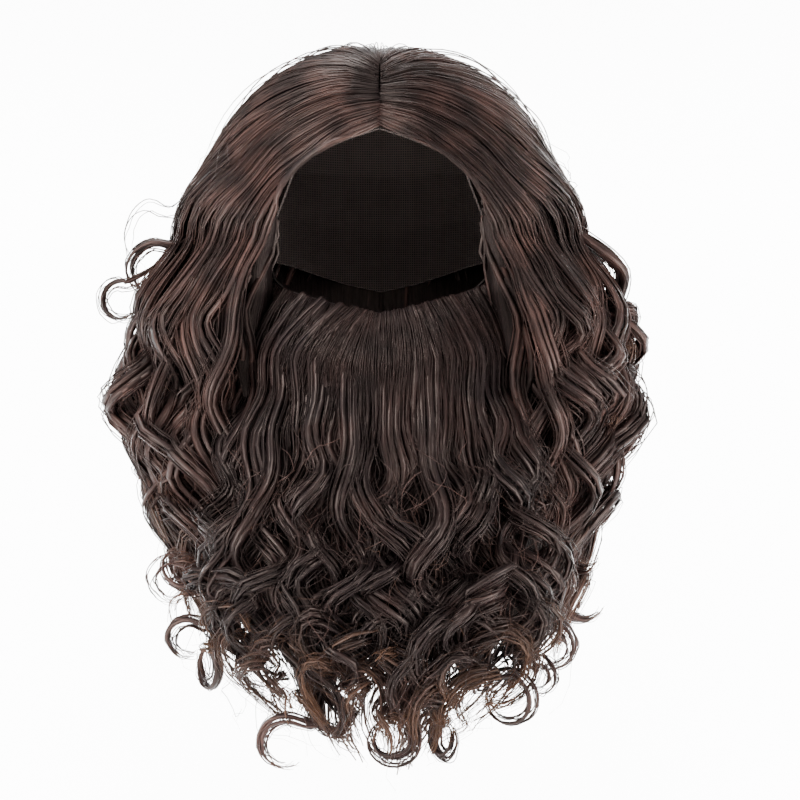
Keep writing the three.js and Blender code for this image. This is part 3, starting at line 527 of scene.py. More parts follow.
def coil_offsets(rng, depth, length, waves, at, motion):
    """Side, out and up offsets of waves that turn to curls towards the tips, for a number of locks."""
    count = len(waves)
    pitch = rng.uniform(*motion.pitch, count)[:, None]
    share = depth / length
    turns = depth / pitch + 0.12 * np.sin(share * 7 + rng.uniform(0, 6, count)[:, None])
    turns = turns + rng.uniform(0.35, 1.1, count)[:, None] * smooth(share, 0.6, 1)
    hand = np.where(np.sin(at * 1.9 + rng.uniform(-0.9, 0.9, count)) > 0, 1, -1)[:, None]
    phase = hand * (at[:, None] * 1.3 + rng.uniform(-1.1, 1.1, count)[:, None] + 2 * np.pi * turns)
    size = waves[:, None] * rng.uniform(0.8, 1.2, count)[:, None]
    size = size * smooth(share, motion.sets_in - 0.1, motion.sets_in + 0.38)
    size = size * (1 - 0.3 * smooth(share, 0.85, 1))
    size = size * (1 + 0.3 * np.sin(share * 9 + rng.uniform(0, 6, count)[:, None]))
    heading = rng.uniform(-0.5, 0.5, count)[:, None]
    lean = rng.uniform(0.3, 1.25, count)[:, None] * smooth(share, 0.4, 0.85)
    first, second = np.sin(phase), np.cos(phase)
    side = size * (first * np.cos(heading) - second * np.cos(lean) * np.sin(heading))
    out = size * (first * np.sin(heading) + second * np.cos(lean) * np.cos(heading)) * 0.8
    return side, out, size * second * np.sin(lean)


def wander(rng, count, steps, turns, size):
    """A small wander of each hair in three directions."""
    t = np.linspace(0, 1, steps)[None, :, None]
    total = np.zeros((count, steps, 3))
    for k in range(3):
        rate = rng.uniform(0.5, 1.4, (count, 1, 3)) * turns * (k + 1)
        total += np.sin(2 * np.pi * rate * t + rng.uniform(0, 2 * np.pi, (count, 1, 3))) / (k + 1)
    return total * size


def cut_to(lengths, *tracks):
    """Each track (hairs, steps, 3) laid out again over a share of its length."""
    steps = tracks[0].shape[1]
    at = np.linspace(0, 1, steps)[None] * lengths[:, None] * (steps - 1)
    i = np.minimum(at.astype(int), steps - 2)
    part = (at - i)[..., None]
    n = np.arange(len(lengths))[:, None]
    return [mix(track[n, i], track[n, i + 1], part) for track in tracks]


def bundle(rng, guides, first, count, width, depth, core, rounded=1.0):
    """Hairs round each guide, from half widths and depths by step: their paths and the way they face.

    They face up off the head where "rounded" is 0, and out of the lock where it is 1."""
    across, upright = carried_frames(guides, first)
    locks, steps = guides.shape[:2]
    radius = np.sqrt(rng.uniform(core, 1, (locks, count)))[:, :, None]
    begin = rng.uniform(0, 2 * np.pi, (locks, 1))
    slots = np.arange(count) + rng.uniform(-0.4, 0.4, (locks, count))
    angle = begin + 2 * np.pi * slots / max(count, 1)
    cos, sin = np.cos(angle)[:, :, None], np.sin(angle)[:, :, None]
    paths = (
        guides[:, None]
        + across[:, None] * (radius * cos * width)[..., None]
        + upright[:, None] * (radius * sin * depth)[..., None]
    )
    sideways, upwards = cos / width * rounded, sin / depth
    outward = across[:, None] * sideways[..., None] + upright[:, None] * upwards[..., None]
    return paths.reshape(-1, steps, 3), unit(outward).reshape(-1, steps, 3)


def lock_sections(layer, rooted_steps, hang_steps, flat):
    """Half widths and depths of a layer's locks by step: flat where combed, and pointed at the tips."""
    q = np.linspace(0, 1, hang_steps)
    width = layer["width"] * (1 - 0.68 * smooth(q, 0.5, 1))
    depth = layer["depth"] * (0.25 + 0.75 * smooth(q, 0, 0.3)) * (1 - 0.6 * smooth(q, 0.5, 1))
    if rooted_steps:
        t = np.linspace(0, 1, rooted_steps, endpoint=False)
        width = np.concatenate([mix(flat["start"], layer["width"], t), width])
        depth = np.concatenate([mix(flat["low"], layer["depth"] * 0.25, t), depth])
    return width, depth


def wig_guides(rng, side, layer, motion):
    """The middles of the locks of one layer on one side, and the way across them at their start."""
    rooted = motion.rooted_steps if layer["rooted"] else 0
    locks = layer["locks"]
    flow = np.clip((np.arange(locks) + 0.5 + rng.uniform(-0.3, 0.3, locks)) / locks * 8.25, 0, 8)
    azimuth = row_at(CROWN_FLOW, "flow", flow)["azimuth"]
    full = row_at(FULLNESS, "azimuth", azimuth)
    length = CURTAIN["length"] * layer["reach"] * rng.uniform(0.9, 1.03, locks)
    depth = motion.hang_shares()[None] * length[:, None]
    waves = layer["wave"] * full["wave"]
    turn_side, turn_out, turn_up = coil_offsets(rng, depth, length[:, None], waves, flow, motion)
    lift = (layer["lift"] + rng.uniform(-4, 4, locks))[:, None] + 0 * depth
    if layer["rooted"]:
        lift = lift * smooth(depth, 0, 50)
    off = full["off"][:, None] * mix(CROWN_RISE, 1, smooth(depth, 0, 60))
    lift = lift + off * (1 - 0.6 * smooth(depth, 90, 230))
    z = CURTAIN["top"] - depth
    around = side * azimuth[:, None] + np.degrees(turn_side / CURTAIN["side"])
    guides = curtain_place(around, z, lift + turn_out)
    guides[..., 2] += turn_up
    if rooted:
        share = np.linspace(0.01, 1, rooted, endpoint=False)[None]
        sway = 0.16 * np.sin(share * 8 + flow[:, None] * 2.2)
        sway = sway * smooth(share, 0.2, 0.6) * (1 - smooth(share, 0.7, 1))
        rise = 0.6 + crown_rise(flow[:, None], share)
        combed = dome_place(side, np.clip(flow[:, None] + sway, 0, 8), share, rise)
        guides = np.concatenate([combed, guides], 1)
    halfway = np.full(locks, 0.5)
    ahead = dome_place(side, flow + 0.05, halfway, 0 * flow) - dome_place(side, flow, halfway, 0 * flow)
    return guides, unit(ahead), 1 + 0.45 * smooth(azimuth, 90, 130)[:, None, None]


def short_guides(rng, form, across, place, full, motion):
    """The middles of shorter locks that leave the hair at different heights, each with a lean of its own."""
    locks = len(across)
    top = rng.uniform(form["low"], form["high"], (locks, 1))
    length = rng.uniform(form["short"], form["long"], (locks, 1))
    depth = motion.hang_shares()[None] * length
    waves = form["wave"] * rng.uniform(0.7, 1.15, locks)
    turn_side, turn_out, turn_up = coil_offsets(rng, depth, length, waves, rng.uniform(0, 9, locks), motion)
    drift = rng.uniform(-22, 22, (locks, 1)) * (depth / length) ** 1.5
    stand = full[:, None] + rng.uniform(1, 12, (locks, 1))
    guides = place(across, drift + turn_side, top - depth, mix(-9, stand, smooth(depth, 0, 60)) + turn_out)
    guides[..., 2] += turn_up
    return guides


def beard_comb(across):
    """How far nearer the middle a beard hair is rooted than where it hangs."""
    left = smooth(-across, -0.1, 0.45) * (1 - smooth(-across, 0.6, 1))
    right = smooth(across, 0, 0.5) * (1 - smooth(across, 0.6, 1))
    return 0.24 * left - 0.09 * right


def beard_guides(rng, layer, motion):
    """The middles of the locks of one layer of the beard, and the way across them at their start."""
    rooted = motion.rooted_steps if layer["rooted"] else 0
    locks = layer["locks"]
    where = (np.arange(locks) + 0.5 + rng.uniform(-0.25, 0.25, locks)) / locks * 2 - 1
    start = BEARD_HANGS_FROM
    length = (BEARD["length"] * layer["reach"] + 4) * rng.uniform(0.88, 1.02, locks)
    length = length * (1 - 0.16 * np.abs(where) ** 3)
    depth = motion.hang_shares()[None] * length[:, None]
    waves = np.full(locks, layer["wave"], float)
    turn_side, turn_out, turn_up = coil_offsets(rng, depth, length[:, None], waves, where * 5, motion)
    lift = layer["lift"] + rng.uniform(-4, 4, locks)[:, None]
    if layer["rooted"]:
        lift = lift * smooth(depth, 0, 50)
    guides = beard_top_place(where[:, None] + turn_side / BEARD["side"], start - depth, lift + turn_out)
    guides[..., 2] += turn_up
    if rooted:
        share = np.linspace(0, 1, rooted, endpoint=False)[None]
        own = (where + beard_comb(where) * (1 - share[0][:, None]) ** 1.3).T
        low = -1.5 * (1 - smooth(share, 0, 0.3))
        combed = beard_top_place(own, mix(beard_edge(own[:, :1]), start, share), low)
        guides = np.concatenate([combed, guides], 1)
    return guides, np.tile([1.0, 0.0, 0.0], (locks, 1))


def bundle_tubes(rng, paths, outward, width, thickness, flat=1.0):
    """Flat bundles of fibres as closed tubes, flatter where they are combed, that taper to their tips."""
    steps = paths.shape[1]
    t = np.linspace(0, 1, steps)[None]
    taper = (1 - 0.8 * smooth(t, 0.55, 1)) * rng.uniform(0.7, 1.2, (len(paths), 1))
    half = width / 2 * (0.75 + 0.25 * smooth(t, 0, 0.2)) * taper
    thick = thickness / 2 * np.sqrt(taper) * mix(flat, 1, smooth(t, 0.2, 0.6))
    return tube_mesh(paths, outward, half, thick, 4, rng.uniform(0, 900, len(paths)))


def hair_tubes(rng, paths, radius):
    """Hairs as thin three-sided tubes that taper to their tips."""
    steps = paths.shape[1]
    taper = 1 - 0.7 * smooth(np.linspace(0, 1, steps), 0.6, 1)
    radii = radius * taper[None] * rng.uniform(0.7, 1.2, (len(paths), 1))
    outward = np.broadcast_to(HAIR_FACES, paths.shape)
    return tube_mesh(paths, outward, radii, radii, 3, rng.uniform(0, 900, len(paths)))


def dressed_layer(rng, guides, first, layer, motion, flat, keep_clear, spread=1.0):
    """The flat bundles and the single hairs of one layer, as meshes."""
    rooted = guides.shape[1] - motion.hang_steps
    width, depth = lock_sections(layer, rooted, motion.hang_steps, flat)
    width = width * spread
    rounded = smooth(np.arange(guides.shape[1]), rooted, rooted + 12) if rooted else 1.0
    combed, hanging = 0.2 * np.linspace(0, 1, rooted), np.linspace(0.2, 1, motion.hang_steps)
    grow = np.concatenate([combed, hanging])[None, :, None]
    made = []
    for count, reach, single in ((layer["bundles"], 0.85, False), (layer["hairs"], 1.15, True)):
        if not count:
            continue
        paths, outward = bundle(rng, guides, first, count, width * reach, depth * reach, 0.12, rounded)
        loose = motion.frizz * (1.0 if single else 0.5)
        paths = paths + wander(rng, len(paths), paths.shape[1], 3.2, loose) * grow
        paths, outward = cut_to(rng.uniform(0.86, 1, len(paths)), keep_clear(paths), outward)
        if single:
            made.append(hair_tubes(rng, paths, motion.fibre))
        else:
            thin = 0.2 if rooted else 1
            made.append(bundle_tubes(rng, paths, outward, motion.bundle_width, BUNDLE_DEPTH, thin))
    return made


def clear_of_head(paths):
    return clear_of_cap(clear_of_face(paths, 2.0), 2.5)


def spline_through(points, steps):
    """A smooth path through a few points."""
    points = np.concatenate([[2 * points[0] - points[1]], points, [2 * points[-1] - points[-2]]])
    at = np.linspace(0, len(points) - 3 - 1e-6, steps)
    i, t = at.astype(int), (at % 1)[:, None]
    a, b, c, d = (points[i + n] for n in range(4))
    return 0.5 * (2 * b + (c - a) * t + (2 * a - 5 * b + 4 * c - d) * t**2 + (3 * b - a - 3 * c + d) * t**3)


def outer_hair(azimuth, z, out):
    """A place on the outside of the wig at any height, from the crown down to the tips."""
    level = np.sqrt(np.maximum(1 - (np.maximum(z - CROWN[2], 0) / CROWN_OUTSIDE["up"]) ** 2, 0))
    place = curtain_place(azimuth, np.minimum(z, CURTAIN["top"]), out)
    place[..., :2] *= level[..., None]
    place[..., 2] = z
    return place


def outline_curl_guide(curl, steps):
    """A lock that comes down with the hair, leaves it and closes to a ring."""
    middle = np.array([curl["x"], curl["y"], curl["z"]], float)
    way = math.copysign(1, curl["turn"])
    angles = np.radians(curl["begin"] + curl["turn"] * np.linspace(0, 1, 10))
    radii = curl["radius"] * np.linspace(1.08, 0.82, 10)
    lean = math.radians(10 + 17 * (abs(curl["x"]) % 4))
    swing = np.cos(angles) * radii
    ring = middle + np.stack([
        swing * math.cos(lean),
        np.linspace(-6, 8, 10) - swing * math.sin(lean),
        np.sin(angles) * radii * 0.92,
    ], -1)
    heading = np.array([-math.sin(angles[0]) * math.cos(lean), 0, math.cos(angles[0])])
    before = ring[0] - way * curl["radius"] * heading
    heights = np.minimum(before[2] + np.array([110.0, 72.0, 36.0]), -12.0)
    azimuth = np.full(3, math.degrees(math.atan2(middle[0], -middle[1])))
    if curl["z"] < -420 or abs(curl["x"]) < 100:
        across = np.clip(0 * heights + middle[0] / BEARD["side"], -0.9, 0.9)
        above = beard_top_place(across, heights, 0 * heights - 8)
    else:
        above = outer_hair(azimuth, heights, 0 * heights - 6)
    return spline_through(np.concatenate([above, before[None], ring]), steps)


# Materials

def linear(hex_colour):
    """An sRGB hex colour as linear values with full opacity."""
    values = [int(hex_colour[i : i + 2], 16) / 255 for i in (1, 3, 5)]
    return tuple(v / 12.92 if v <= 0.04045 else ((v + 0.055) / 1.055) ** 2.4 for v in values) + (1.0,)


def new_material(name):
    material = bpy.data.materials.new(name)
    material.use_nodes = True
    material.node_tree.nodes.clear()
    return material, material.node_tree


def add_node(tree, kind, settings=None, links=None):
    """Adds a node with its settings and its inputs; an input is a value or another node's output."""
    node = tree.nodes.new(kind)
    for key, value in (settings or {}).items():
        setattr(node, key, value)
    for key, value in (links or {}).items():
        if isinstance(value, bpy.types.NodeSocket):
            tree.links.new(value, node.inputs[key])
        else:
            node.inputs[key].default_value = value
    return node


def set_ramp(node, stops):
    ramp = node.color_ramp
    while len(ramp.elements) > 1:
        ramp.elements.remove(ramp.elements[-1])
    ramp.elements[0].position, ramp.elements[0].color = stops[0]
    for position, colour in stops[1:]:
        ramp.elements.new(position).color = colour


def modacrylic_hair(name, colours, depth, streaks):
    """Curled modacrylic fibre: dark brown with a satin gloss, warmer in places and lighter at the tips."""
    material, tree = new_material(name)
    fibre_map = add_node(tree, "ShaderNodeUVMap", {"uv_map": "fibre"})
    parts = add_node(tree, "ShaderNodeSeparateXYZ", links={"Vector": fibre_map.outputs["UV"]})
    along = add_node(tree, "ShaderNodeValToRGB", links={"Fac": parts.outputs["Y"]})
    shades = ((0.0, "root"), (0.3, "base"), (0.75, "base"), (1.0, "tip"))
    set_ramp(along, [(position, linear(colours[shade])) for position, shade in shades])
    drawn = add_node(tree, "ShaderNodeMapping", links={
        "Vector": fibre_map.outputs["UV"], "Scale": (0.8, 7.0, 1.0)})
    fibre = add_node(tree, "ShaderNodeTexNoise", links={
        "Vector": drawn.outputs["Vector"], "Scale": 1.0, "Detail": 3.0, "Roughness": 0.65})
    lightness = add_node(tree, "ShaderNodeValToRGB", links={"Fac": fibre.outputs["Fac"]})
    low, high = 1 - 0.5 * streaks, 1 + 0.8 * streaks
    set_ramp(lightness, [(0.34, (low, 0.97 * low, 0.97 * low, 1)), (0.5, (0.94, 0.92, 0.92, 1)),
                         (0.68, (high, 0.91 * high, 0.87 * high, 1))])
    place = add_node(tree, "ShaderNodeTexCoord")
    broad = add_node(tree, "ShaderNodeTexNoise", links={
        "Vector": place.outputs["Object"], "Scale": 30.0, "Detail": 2.0, "Roughness": 0.5})
    warmth = add_node(tree, "ShaderNodeMapRange", links={
        "Value": broad.outputs["Fac"], "From Min": 0.42, "From Max": 0.68, "To Min": 0.0, "To Max": 0.8})
    warmed = add_node(tree, "ShaderNodeMix", {"data_type": "RGBA"}, {
        0: warmth.outputs["Result"], 6: along.outputs["Color"], 7: linear(colours["warm"])})
    shaded = add_node(tree, "ShaderNodeMix", {"data_type": "RGBA", "blend_type": "MULTIPLY"}, {
        0: 1.0, 6: warmed.outputs[2], 7: lightness.outputs["Color"]})
    bump = add_node(tree, "ShaderNodeBump", links={
        "Height": fibre.outputs["Fac"], "Strength": 0.8, "Distance": depth * MM})
    shader = add_node(tree, "ShaderNodeBsdfPrincipled", links={
        "Base Color": shaded.outputs[2], "Roughness": 0.38, "Specular IOR Level": 0.37,
        "Specular Tint": linear("#e8d0c4"), "Normal": bump.outputs["Normal"]})
    output = add_node(tree, "ShaderNodeOutputMaterial")
    tree.links.new(shader.outputs["BSDF"], output.inputs["Surface"])
    return material


def woven_material(name, dark, light, thread, roughness):
    """Woven or knitted nylon: crossed threads of a real spacing, matt, with a soft rise at each crossing."""
    material, tree = new_material(name)
    place = add_node(tree, "ShaderNodeTexCoord")
    waves = []
    for axis in ("X", "Z"):
        waves.append(add_node(tree, "ShaderNodeTexWave", {"bands_direction": axis}, {
            "Vector": place.outputs["Object"], "Scale": 1 / (thread * MM) / 3.2, "Distortion": 0.6,
            "Detail": 1.0}))
    crossed = add_node(tree, "ShaderNodeMath", {"operation": "MAXIMUM"}, {
        0: waves[0].outputs["Fac"], 1: waves[1].outputs["Fac"]})
    colour = add_node(tree, "ShaderNodeValToRGB", links={"Fac": crossed.outputs["Value"]})
    set_ramp(colour, [(0.3, linear(dark)), (0.9, linear(light))])
    bump = add_node(tree, "ShaderNodeBump", links={
        "Height": crossed.outputs["Value"], "Strength": 0.6, "Distance": 0.4 * MM})
    shader = add_node(tree, "ShaderNodeBsdfPrincipled", links={
        "Base Color": colour.outputs["Color"], "Roughness": roughness, "Normal": bump.outputs["Normal"]})
    output = add_node(tree, "ShaderNodeOutputMaterial")
    tree.links.new(shader.outputs["BSDF"], output.inputs["Surface"])
    return material


def painted_paper(name, colour):
    """Matt paper of a studio backdrop, with a barely visible mottle."""
    material, tree = new_material(name)
    place = add_node(tree, "ShaderNodeTexCoord")
    mottle = add_node(tree, "ShaderNodeTexNoise", links={"Vector": place.outputs["Object"], "Scale": 3.0})
    ramp = add_node(tree, "ShaderNodeValToRGB", links={"Fac": mottle.outputs["Fac"]})
    pale = linear(colour)
    set_ramp(ramp, [(0.3, tuple(0.985 * v for v in pale[:3]) + (1,)), (0.7, pale)])
    shader = add_node(tree, "ShaderNodeBsdfPrincipled", links={
        "Base Color": ramp.outputs["Color"], "Roughness": 0.9})
    output = add_node(tree, "ShaderNodeOutputMaterial")
    tree.links.new(shader.outputs["BSDF"], output.inputs["Surface"])
    return material


def hex_of(colour):
    """A colour property, kept in sRGB, as a hex value."""
    return "#" + "".join(f"{round(v * 255):02x}" for v in colour)


def srgb(hex_colour):
    return tuple(int(hex_colour[i : i + 2], 16) / 255 for i in (1, 3, 5))


class WigHairSettings(bpy.types.PropertyGroup):
    """Sizes and colours of the wig's hair."""

    fibre: FloatProperty(name="Fibre radius", description="Radius of a drawn bundle of fibres",
                         default=0.00045, unit="LENGTH")
    frizz: FloatProperty(name="Frizz", description="How far a hair wanders from its lock", default=0.0016,
                         unit="LENGTH")
    tight: FloatProperty(name="Tightest wave", description="Shortest pitch of the waves", default=0.064,
                         unit="LENGTH")
    loose: FloatProperty(name="Loosest wave", description="Longest pitch of the waves", default=0.108,
                         unit="LENGTH")
    combed: IntProperty(name="Combed hairs", description="Short hairs laid over each side of the crown",
                        default=180)
    loose_hairs: IntProperty(name="Loose hairs", description="Single hairs that stand off", default=340)
    bundle: FloatProperty(name="Bundle width", description="Width of a flat bundle of fibres",
                          default=0.0052, unit="LENGTH")
    streaks: FloatProperty(name="Streaks", description="How much lighter and darker single fibres are",
                           default=1.0, subtype="FACTOR")
    root: FloatVectorProperty(name="Roots", description="Colour at the parting", default=srgb("#1c1616"),
                              subtype="COLOR_GAMMA", size=3)
    base: FloatVectorProperty(name="Brown", description="Colour of the lengths", default=srgb("#2a2120"),
                              subtype="COLOR_GAMMA", size=3)
    warm: FloatVectorProperty(name="Warm brown", description="Colour of the warmer locks",
                              default=srgb("#4f3a35"), subtype="COLOR_GAMMA", size=3)
    tip: FloatVectorProperty(name="Tips", description="Colour of the tips", default=srgb("#6a5144"),
                             subtype="COLOR_GAMMA", size=3)


class BeardHairSettings(bpy.types.PropertyGroup):
    """Sizes and colours of the beard's hair."""

    fibre: FloatProperty(name="Fibre radius", description="Radius of a drawn bundle of fibres",
                         default=0.00037, unit="LENGTH")
    frizz: FloatProperty(name="Frizz", description="How far a hair wanders from its lock", default=0.0026,
                         unit="LENGTH")
    tight: FloatProperty(name="Tightest wave", description="Shortest pitch of the waves", default=0.055,
                         unit="LENGTH")
    loose: FloatProperty(name="Loosest wave", description="Longest pitch of the waves", default=0.08,
                         unit="LENGTH")
    smooth_hairs: IntProperty(name="Smooth hairs",
                              description="Hairs over the cloth below the upper edge", default=600)
    bundle: FloatProperty(name="Bundle width", description="Width of a flat bundle of fibres",
                          default=0.0042, unit="LENGTH")
    streaks: FloatProperty(name="Streaks", description="How much lighter and darker single fibres are",
                           default=0.8, subtype="FACTOR")
    root: FloatVectorProperty(name="Roots", description="Colour at the upper edge",
                              default=srgb("#1d1617"), subtype="COLOR_GAMMA", size=3)
    # The brown is darker than the roots: painted shade on the middle of the beard, below the lighter roots
    base: FloatVectorProperty(name="Brown", description="Colour of the beard", default=srgb("#171112"),
                              subtype="COLOR_GAMMA", size=3)
    warm: FloatVectorProperty(name="Warm brown", description="Colour of the warmer locks",
                              default=srgb("#2b1f1d"), subtype="COLOR_GAMMA", size=3)
    tip: FloatVectorProperty(name="Tips", description="Colour of the tips", default=srgb("#664a39"),
                             subtype="COLOR_GAMMA", size=3)


class StageSettings(bpy.types.PropertyGroup):
    """The camera's distance and the floor."""

    distance: FloatProperty(name="Camera distance", description="From the middle of the wig", default=2.2,
                            unit="LENGTH")
    width: FloatProperty(name="Picture width", description="What the picture spans at the wig",
                         default=0.544, unit="LENGTH")
    floor: FloatProperty(name="Floor", description="Height of the floor", default=-1.0, unit="LENGTH")


class Motion:
    """What one head of hair takes from its settings, in millimetres, and the steps it is laid out in."""

    def __init__(self, settings, rooted_steps, hang_steps, sets_in):
        self.frizz, self.fibre = settings.frizz / MM, settings.fibre / MM
        self.pitch = (settings.tight / MM, settings.loose / MM)
        self.bundle_width = settings.bundle / MM
        self.rooted_steps, self.hang_steps, self.sets_in = rooted_steps, hang_steps, sets_in

    def hang_shares(self):
        """Shares of the hanging length, closer together towards the curled end."""
        return 1 - (1 - np.linspace(0, 1, self.hang_steps)) ** 1.4


def colours_of(settings):
    return {key: hex_of(getattr(settings, key)) for key in ("root", "base", "warm", "tip")}


def hair_material(settings, name):
    return bpy.data.materials.get(name) or modacrylic_hair(name, colours_of(settings), 0.8, settings.streaks)


def under_material_with_painted_shade(settings, name, top):
    """The same fibre with painted shade: past its top it keeps the root colour to the tips, as the shade of
    the locks over it.
    """
    own = colours_of(settings)
    colours = {"root": own[top], "base": own["root"], "warm": own["root"], "tip": own["root"]}
    return bpy.data.materials.get(name) or modacrylic_hair(name, colours, 1.2, settings.streaks)


class WIG_OT_cap(bpy.types.Operator):
    """Gives the cap, the beard's cloth, the seam and the straps their net, cloth and elastic"""

    bl_idname = "wig.cap"
    bl_label = "Cap, cloth and straps"

    def execute(self, context):
        net = woven_material("knitted_nylon_net", "#0d0b0a", "#4a3d38", 1.6, 0.85)
        cloth = woven_material("woven_nylon_cloth", "#120c0a", "#2e211c", 0.9, 0.9)
        elastic = woven_material("woven_elastic_band", "#060505", "#1e1a19", 0.7, 0.8)
        finishes = {
            "wig_cap": net, "parting_seam": cloth, "beard_cloth": cloth, "beard_strap_left": elastic,
            "beard_strap_right": elastic,
        }
        for name, material in finishes.items():
            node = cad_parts[name]
            node.data.materials.clear()
            node.data.materials.append(material)
        return {"FINISHED"}


class WIG_OT_under_hair(bpy.types.Operator):
    """Makes the closely packed hair under the locks, from the parting to the tips, in a darker fibre of
    painted shade
    """

    bl_idname = "wig.under_hair"
    bl_label = "Under hair"

    def execute(self, context):
        for side, name in ((-1, "left"), (1, "right")):
            columns, dome_rows, hang_rows = 97, 16, 30
            flow = np.linspace(0, 8, columns)[None]
            azimuth = row_at(CROWN_FLOW, "flow", flow)["azimuth"]
            share = np.linspace(0, 1, dome_rows, endpoint=False)[:, None]
            ridge = np.abs(np.sin(flow * np.pi * 1.5 + 0.7 * np.sin(flow * 3)))
            outer_dome = dome_place(side, flow, share, -2.4 + 1.6 * ridge * smooth(share, 0, 0.5))
            inner_dome = dome_place(side, flow, share, -9.0 + 0 * flow)
            depth = np.linspace(0, 1, hang_rows)[:, None] * CURTAIN["length"]
            depth = depth * (0.8 + 0.05 * np.sin(flow * 9))
            z = CURTAIN["top"] - depth
            wave = 4 * np.sin(2 * np.pi * depth / 84 + flow * 2.1) * smooth(depth, 20, 120)
            sink = -2.4 - 18 * smooth(depth, 0, 60)
            outer = curtain_place(side * azimuth + 0 * z, z + 0 * azimuth, sink + wave + 2.0 * ridge)
            thick = 6.6 + 8 * smooth(depth, 0, 60) * (1 - smooth(depth, 150, 258))
            inner = curtain_place(side * azimuth + 0 * z, z + 0 * azimuth, sink + wave - thick)
            skins = [np.concatenate([outer_dome, outer]), np.concatenate([inner_dome, inner])]
            for skin in skins:
                skin[..., 0] -= side * 3 * smooth(flow, 7.4, 8)
            skins[0] = clear_of_cap(clear_of_face(skins[0], 3.0), 4.0)
            skins[1] = clear_of_cap(clear_of_face(skins[1], 3.5), 2.0)
            if side < 0:
                skins = [skin[:, ::-1] for skin in skins]
            nodes = [f"tress_{name}_{part}" for part in ("front", "side", "rear", "back")]
            nodes = [f"crown_hair_{name}"] + nodes
            # The under hair takes a darker copy of the fibre: painted shade of the locks over it
            painted_shade = under_material_with_painted_shade(context.scene.wig_hair, "modacrylic_hair_painted_shade", "root")
            make_piece(f"under_hair_{name}", [sheet_mesh(*skins)], painted_shade, nodes)
        return {"FINISHED"}


class WIG_OT_lengths(bpy.types.Operator):
    """Makes the waved and curled lengths of the wig in layers of locks"""

    bl_idname = "wig.lengths"
    bl_label = "Lengths of the wig"

    def execute(self, context):
        settings = context.scene.wig_hair
        material = hair_material(settings, "modacrylic_hair")
        outer_bundles, inner = [], []
        for side, name in ((-1, "left"), (1, "right")):
            for n, layer in enumerate(WIG_LAYERS):
                rng = np.random.default_rng(SEEDS["lengths"] + 10 * n + side)
                motion = Motion(settings, 10, 40 if layer["rooted"] else 34, 0.08)
                guides, first, spread = wig_guides(rng, side, layer, motion)
                made = dressed_layer(rng, guides, first, layer, motion, COMBED_FLAT, clear_of_head, spread)
                if layer["rooted"]:
                    outer_bundles.append(made[0])
                    make_piece(f"hairs_{name}", [made[1]], material)
                else:
                    inner += made
        make_piece("outer_bundles", outer_bundles, material)
        make_piece("inner_bundles", inner, material)
        return {"FINISHED"}


class WIG_OT_short_locks(bpy.types.Operator):
    """Makes the shorter locks that curl outside the lengths of the wig and the beard"""

    bl_idname = "wig.short_locks"
    bl_label = "Shorter locks"

    def execute(self, context):
        settings = context.scene.wig_hair
        form, made = WIG_SHORT_LOCKS, []
        for side in (-1, 1):
            rng = np.random.default_rng(SEEDS["short"] + side)
            motion = Motion(settings, 0, 27, 0.05)
            locks = form["locks"]
            azimuth = 62 + 116 * (np.arange(locks) + rng.uniform(0.1, 0.9, locks)) / locks

            def on_wig(azimuth, aside, z, out):
                return outer_hair(side * azimuth[:, None] + np.degrees(aside / CURTAIN["side"]), z, out)

            stand = 0.8 * row_at(FULLNESS, "azimuth", azimuth)["off"]
            guides = short_guides(rng, form, azimuth, on_wig, stand, motion)
            first = direction(side * azimuth + 90, np.full_like(azimuth, 90.0))
            made += dressed_layer(rng, guides, first, form, motion, None, clear_of_head)
        make_piece("short_locks", made, hair_material(settings, "modacrylic_hair"))

        settings, form = context.scene.beard_hair, BEARD_SHORT_LOCKS
        rng = np.random.default_rng(SEEDS["beard_short"])
        motion = Motion(settings, 0, 26, 0.05)
        locks = form["locks"]
        across = (np.arange(locks) + rng.uniform(0.1, 0.9, locks)) / locks * 1.8 - 0.9

        def on_beard(across, aside, z, out):
            return beard_top_place(across[:, None] + aside / BEARD["side"], z, out)

        guides = short_guides(rng, form, across, on_beard, 0 * across, motion)
        first = np.tile([1.0, 0.0, 0.0], (locks, 1))
        made = dressed_layer(rng, guides, first, form, motion, None, lambda paths: paths)
        make_piece("beard_short_locks", made, hair_material(settings, "modacrylic_beard"))
        return {"FINISHED"}


class WIG_OT_combed_hair(bpy.types.Operator):
    """Lays short combed hairs over the crown, from the parting to the temples and the nape"""

    bl_idname = "wig.combed_hair"
    bl_label = "Combed crown hair"

    def execute(self, context):
        settings = context.scene.wig_hair
        made = []
        for side in (-1, 1):
            rng = np.random.default_rng(SEEDS["combed"] + side)
            count, steps = settings.combed, 18
            flow = 8 * rng.uniform(0, 1, count) ** 0.75
            end = rng.uniform(0.75, 1.0, count)[:, None]
            start = np.where(rng.uniform(0, 1, count) < 0.75, 0.004, rng.uniform(0.1, 0.5, count))[:, None]
            share = start + (end - start) * np.linspace(0, 1, steps)[None]
            sway = 0.12 * np.sin(share * 7 + flow[:, None] * 2.5) * share
            lift = 1.2 + rng.uniform(-0.8, 1.6, count)[:, None] - 2.5 * smooth(share / end, 0.75, 1)
            lift = lift + crown_rise(flow[:, None], share)
            stray = rng.uniform(2, 7, (count, 1)) * (rng.uniform(0, 1, (count, 1)) < 0.18)
            lift = lift + stray * np.sin(np.pi * np.linspace(0, 1, steps))
            paths = dome_place(side, np.clip(flow[:, None] + sway, 0, 8), share, lift)
            paths += wander(rng, count, steps, 1.2, 0.5) * np.linspace(0, 1, steps)[None, :, None]
            made.append(hair_tubes(rng, clear_of_head(paths), settings.fibre / MM))
        make_piece("combed_hair", made, hair_material(settings, "modacrylic_hair"))
        return {"FINISHED"}


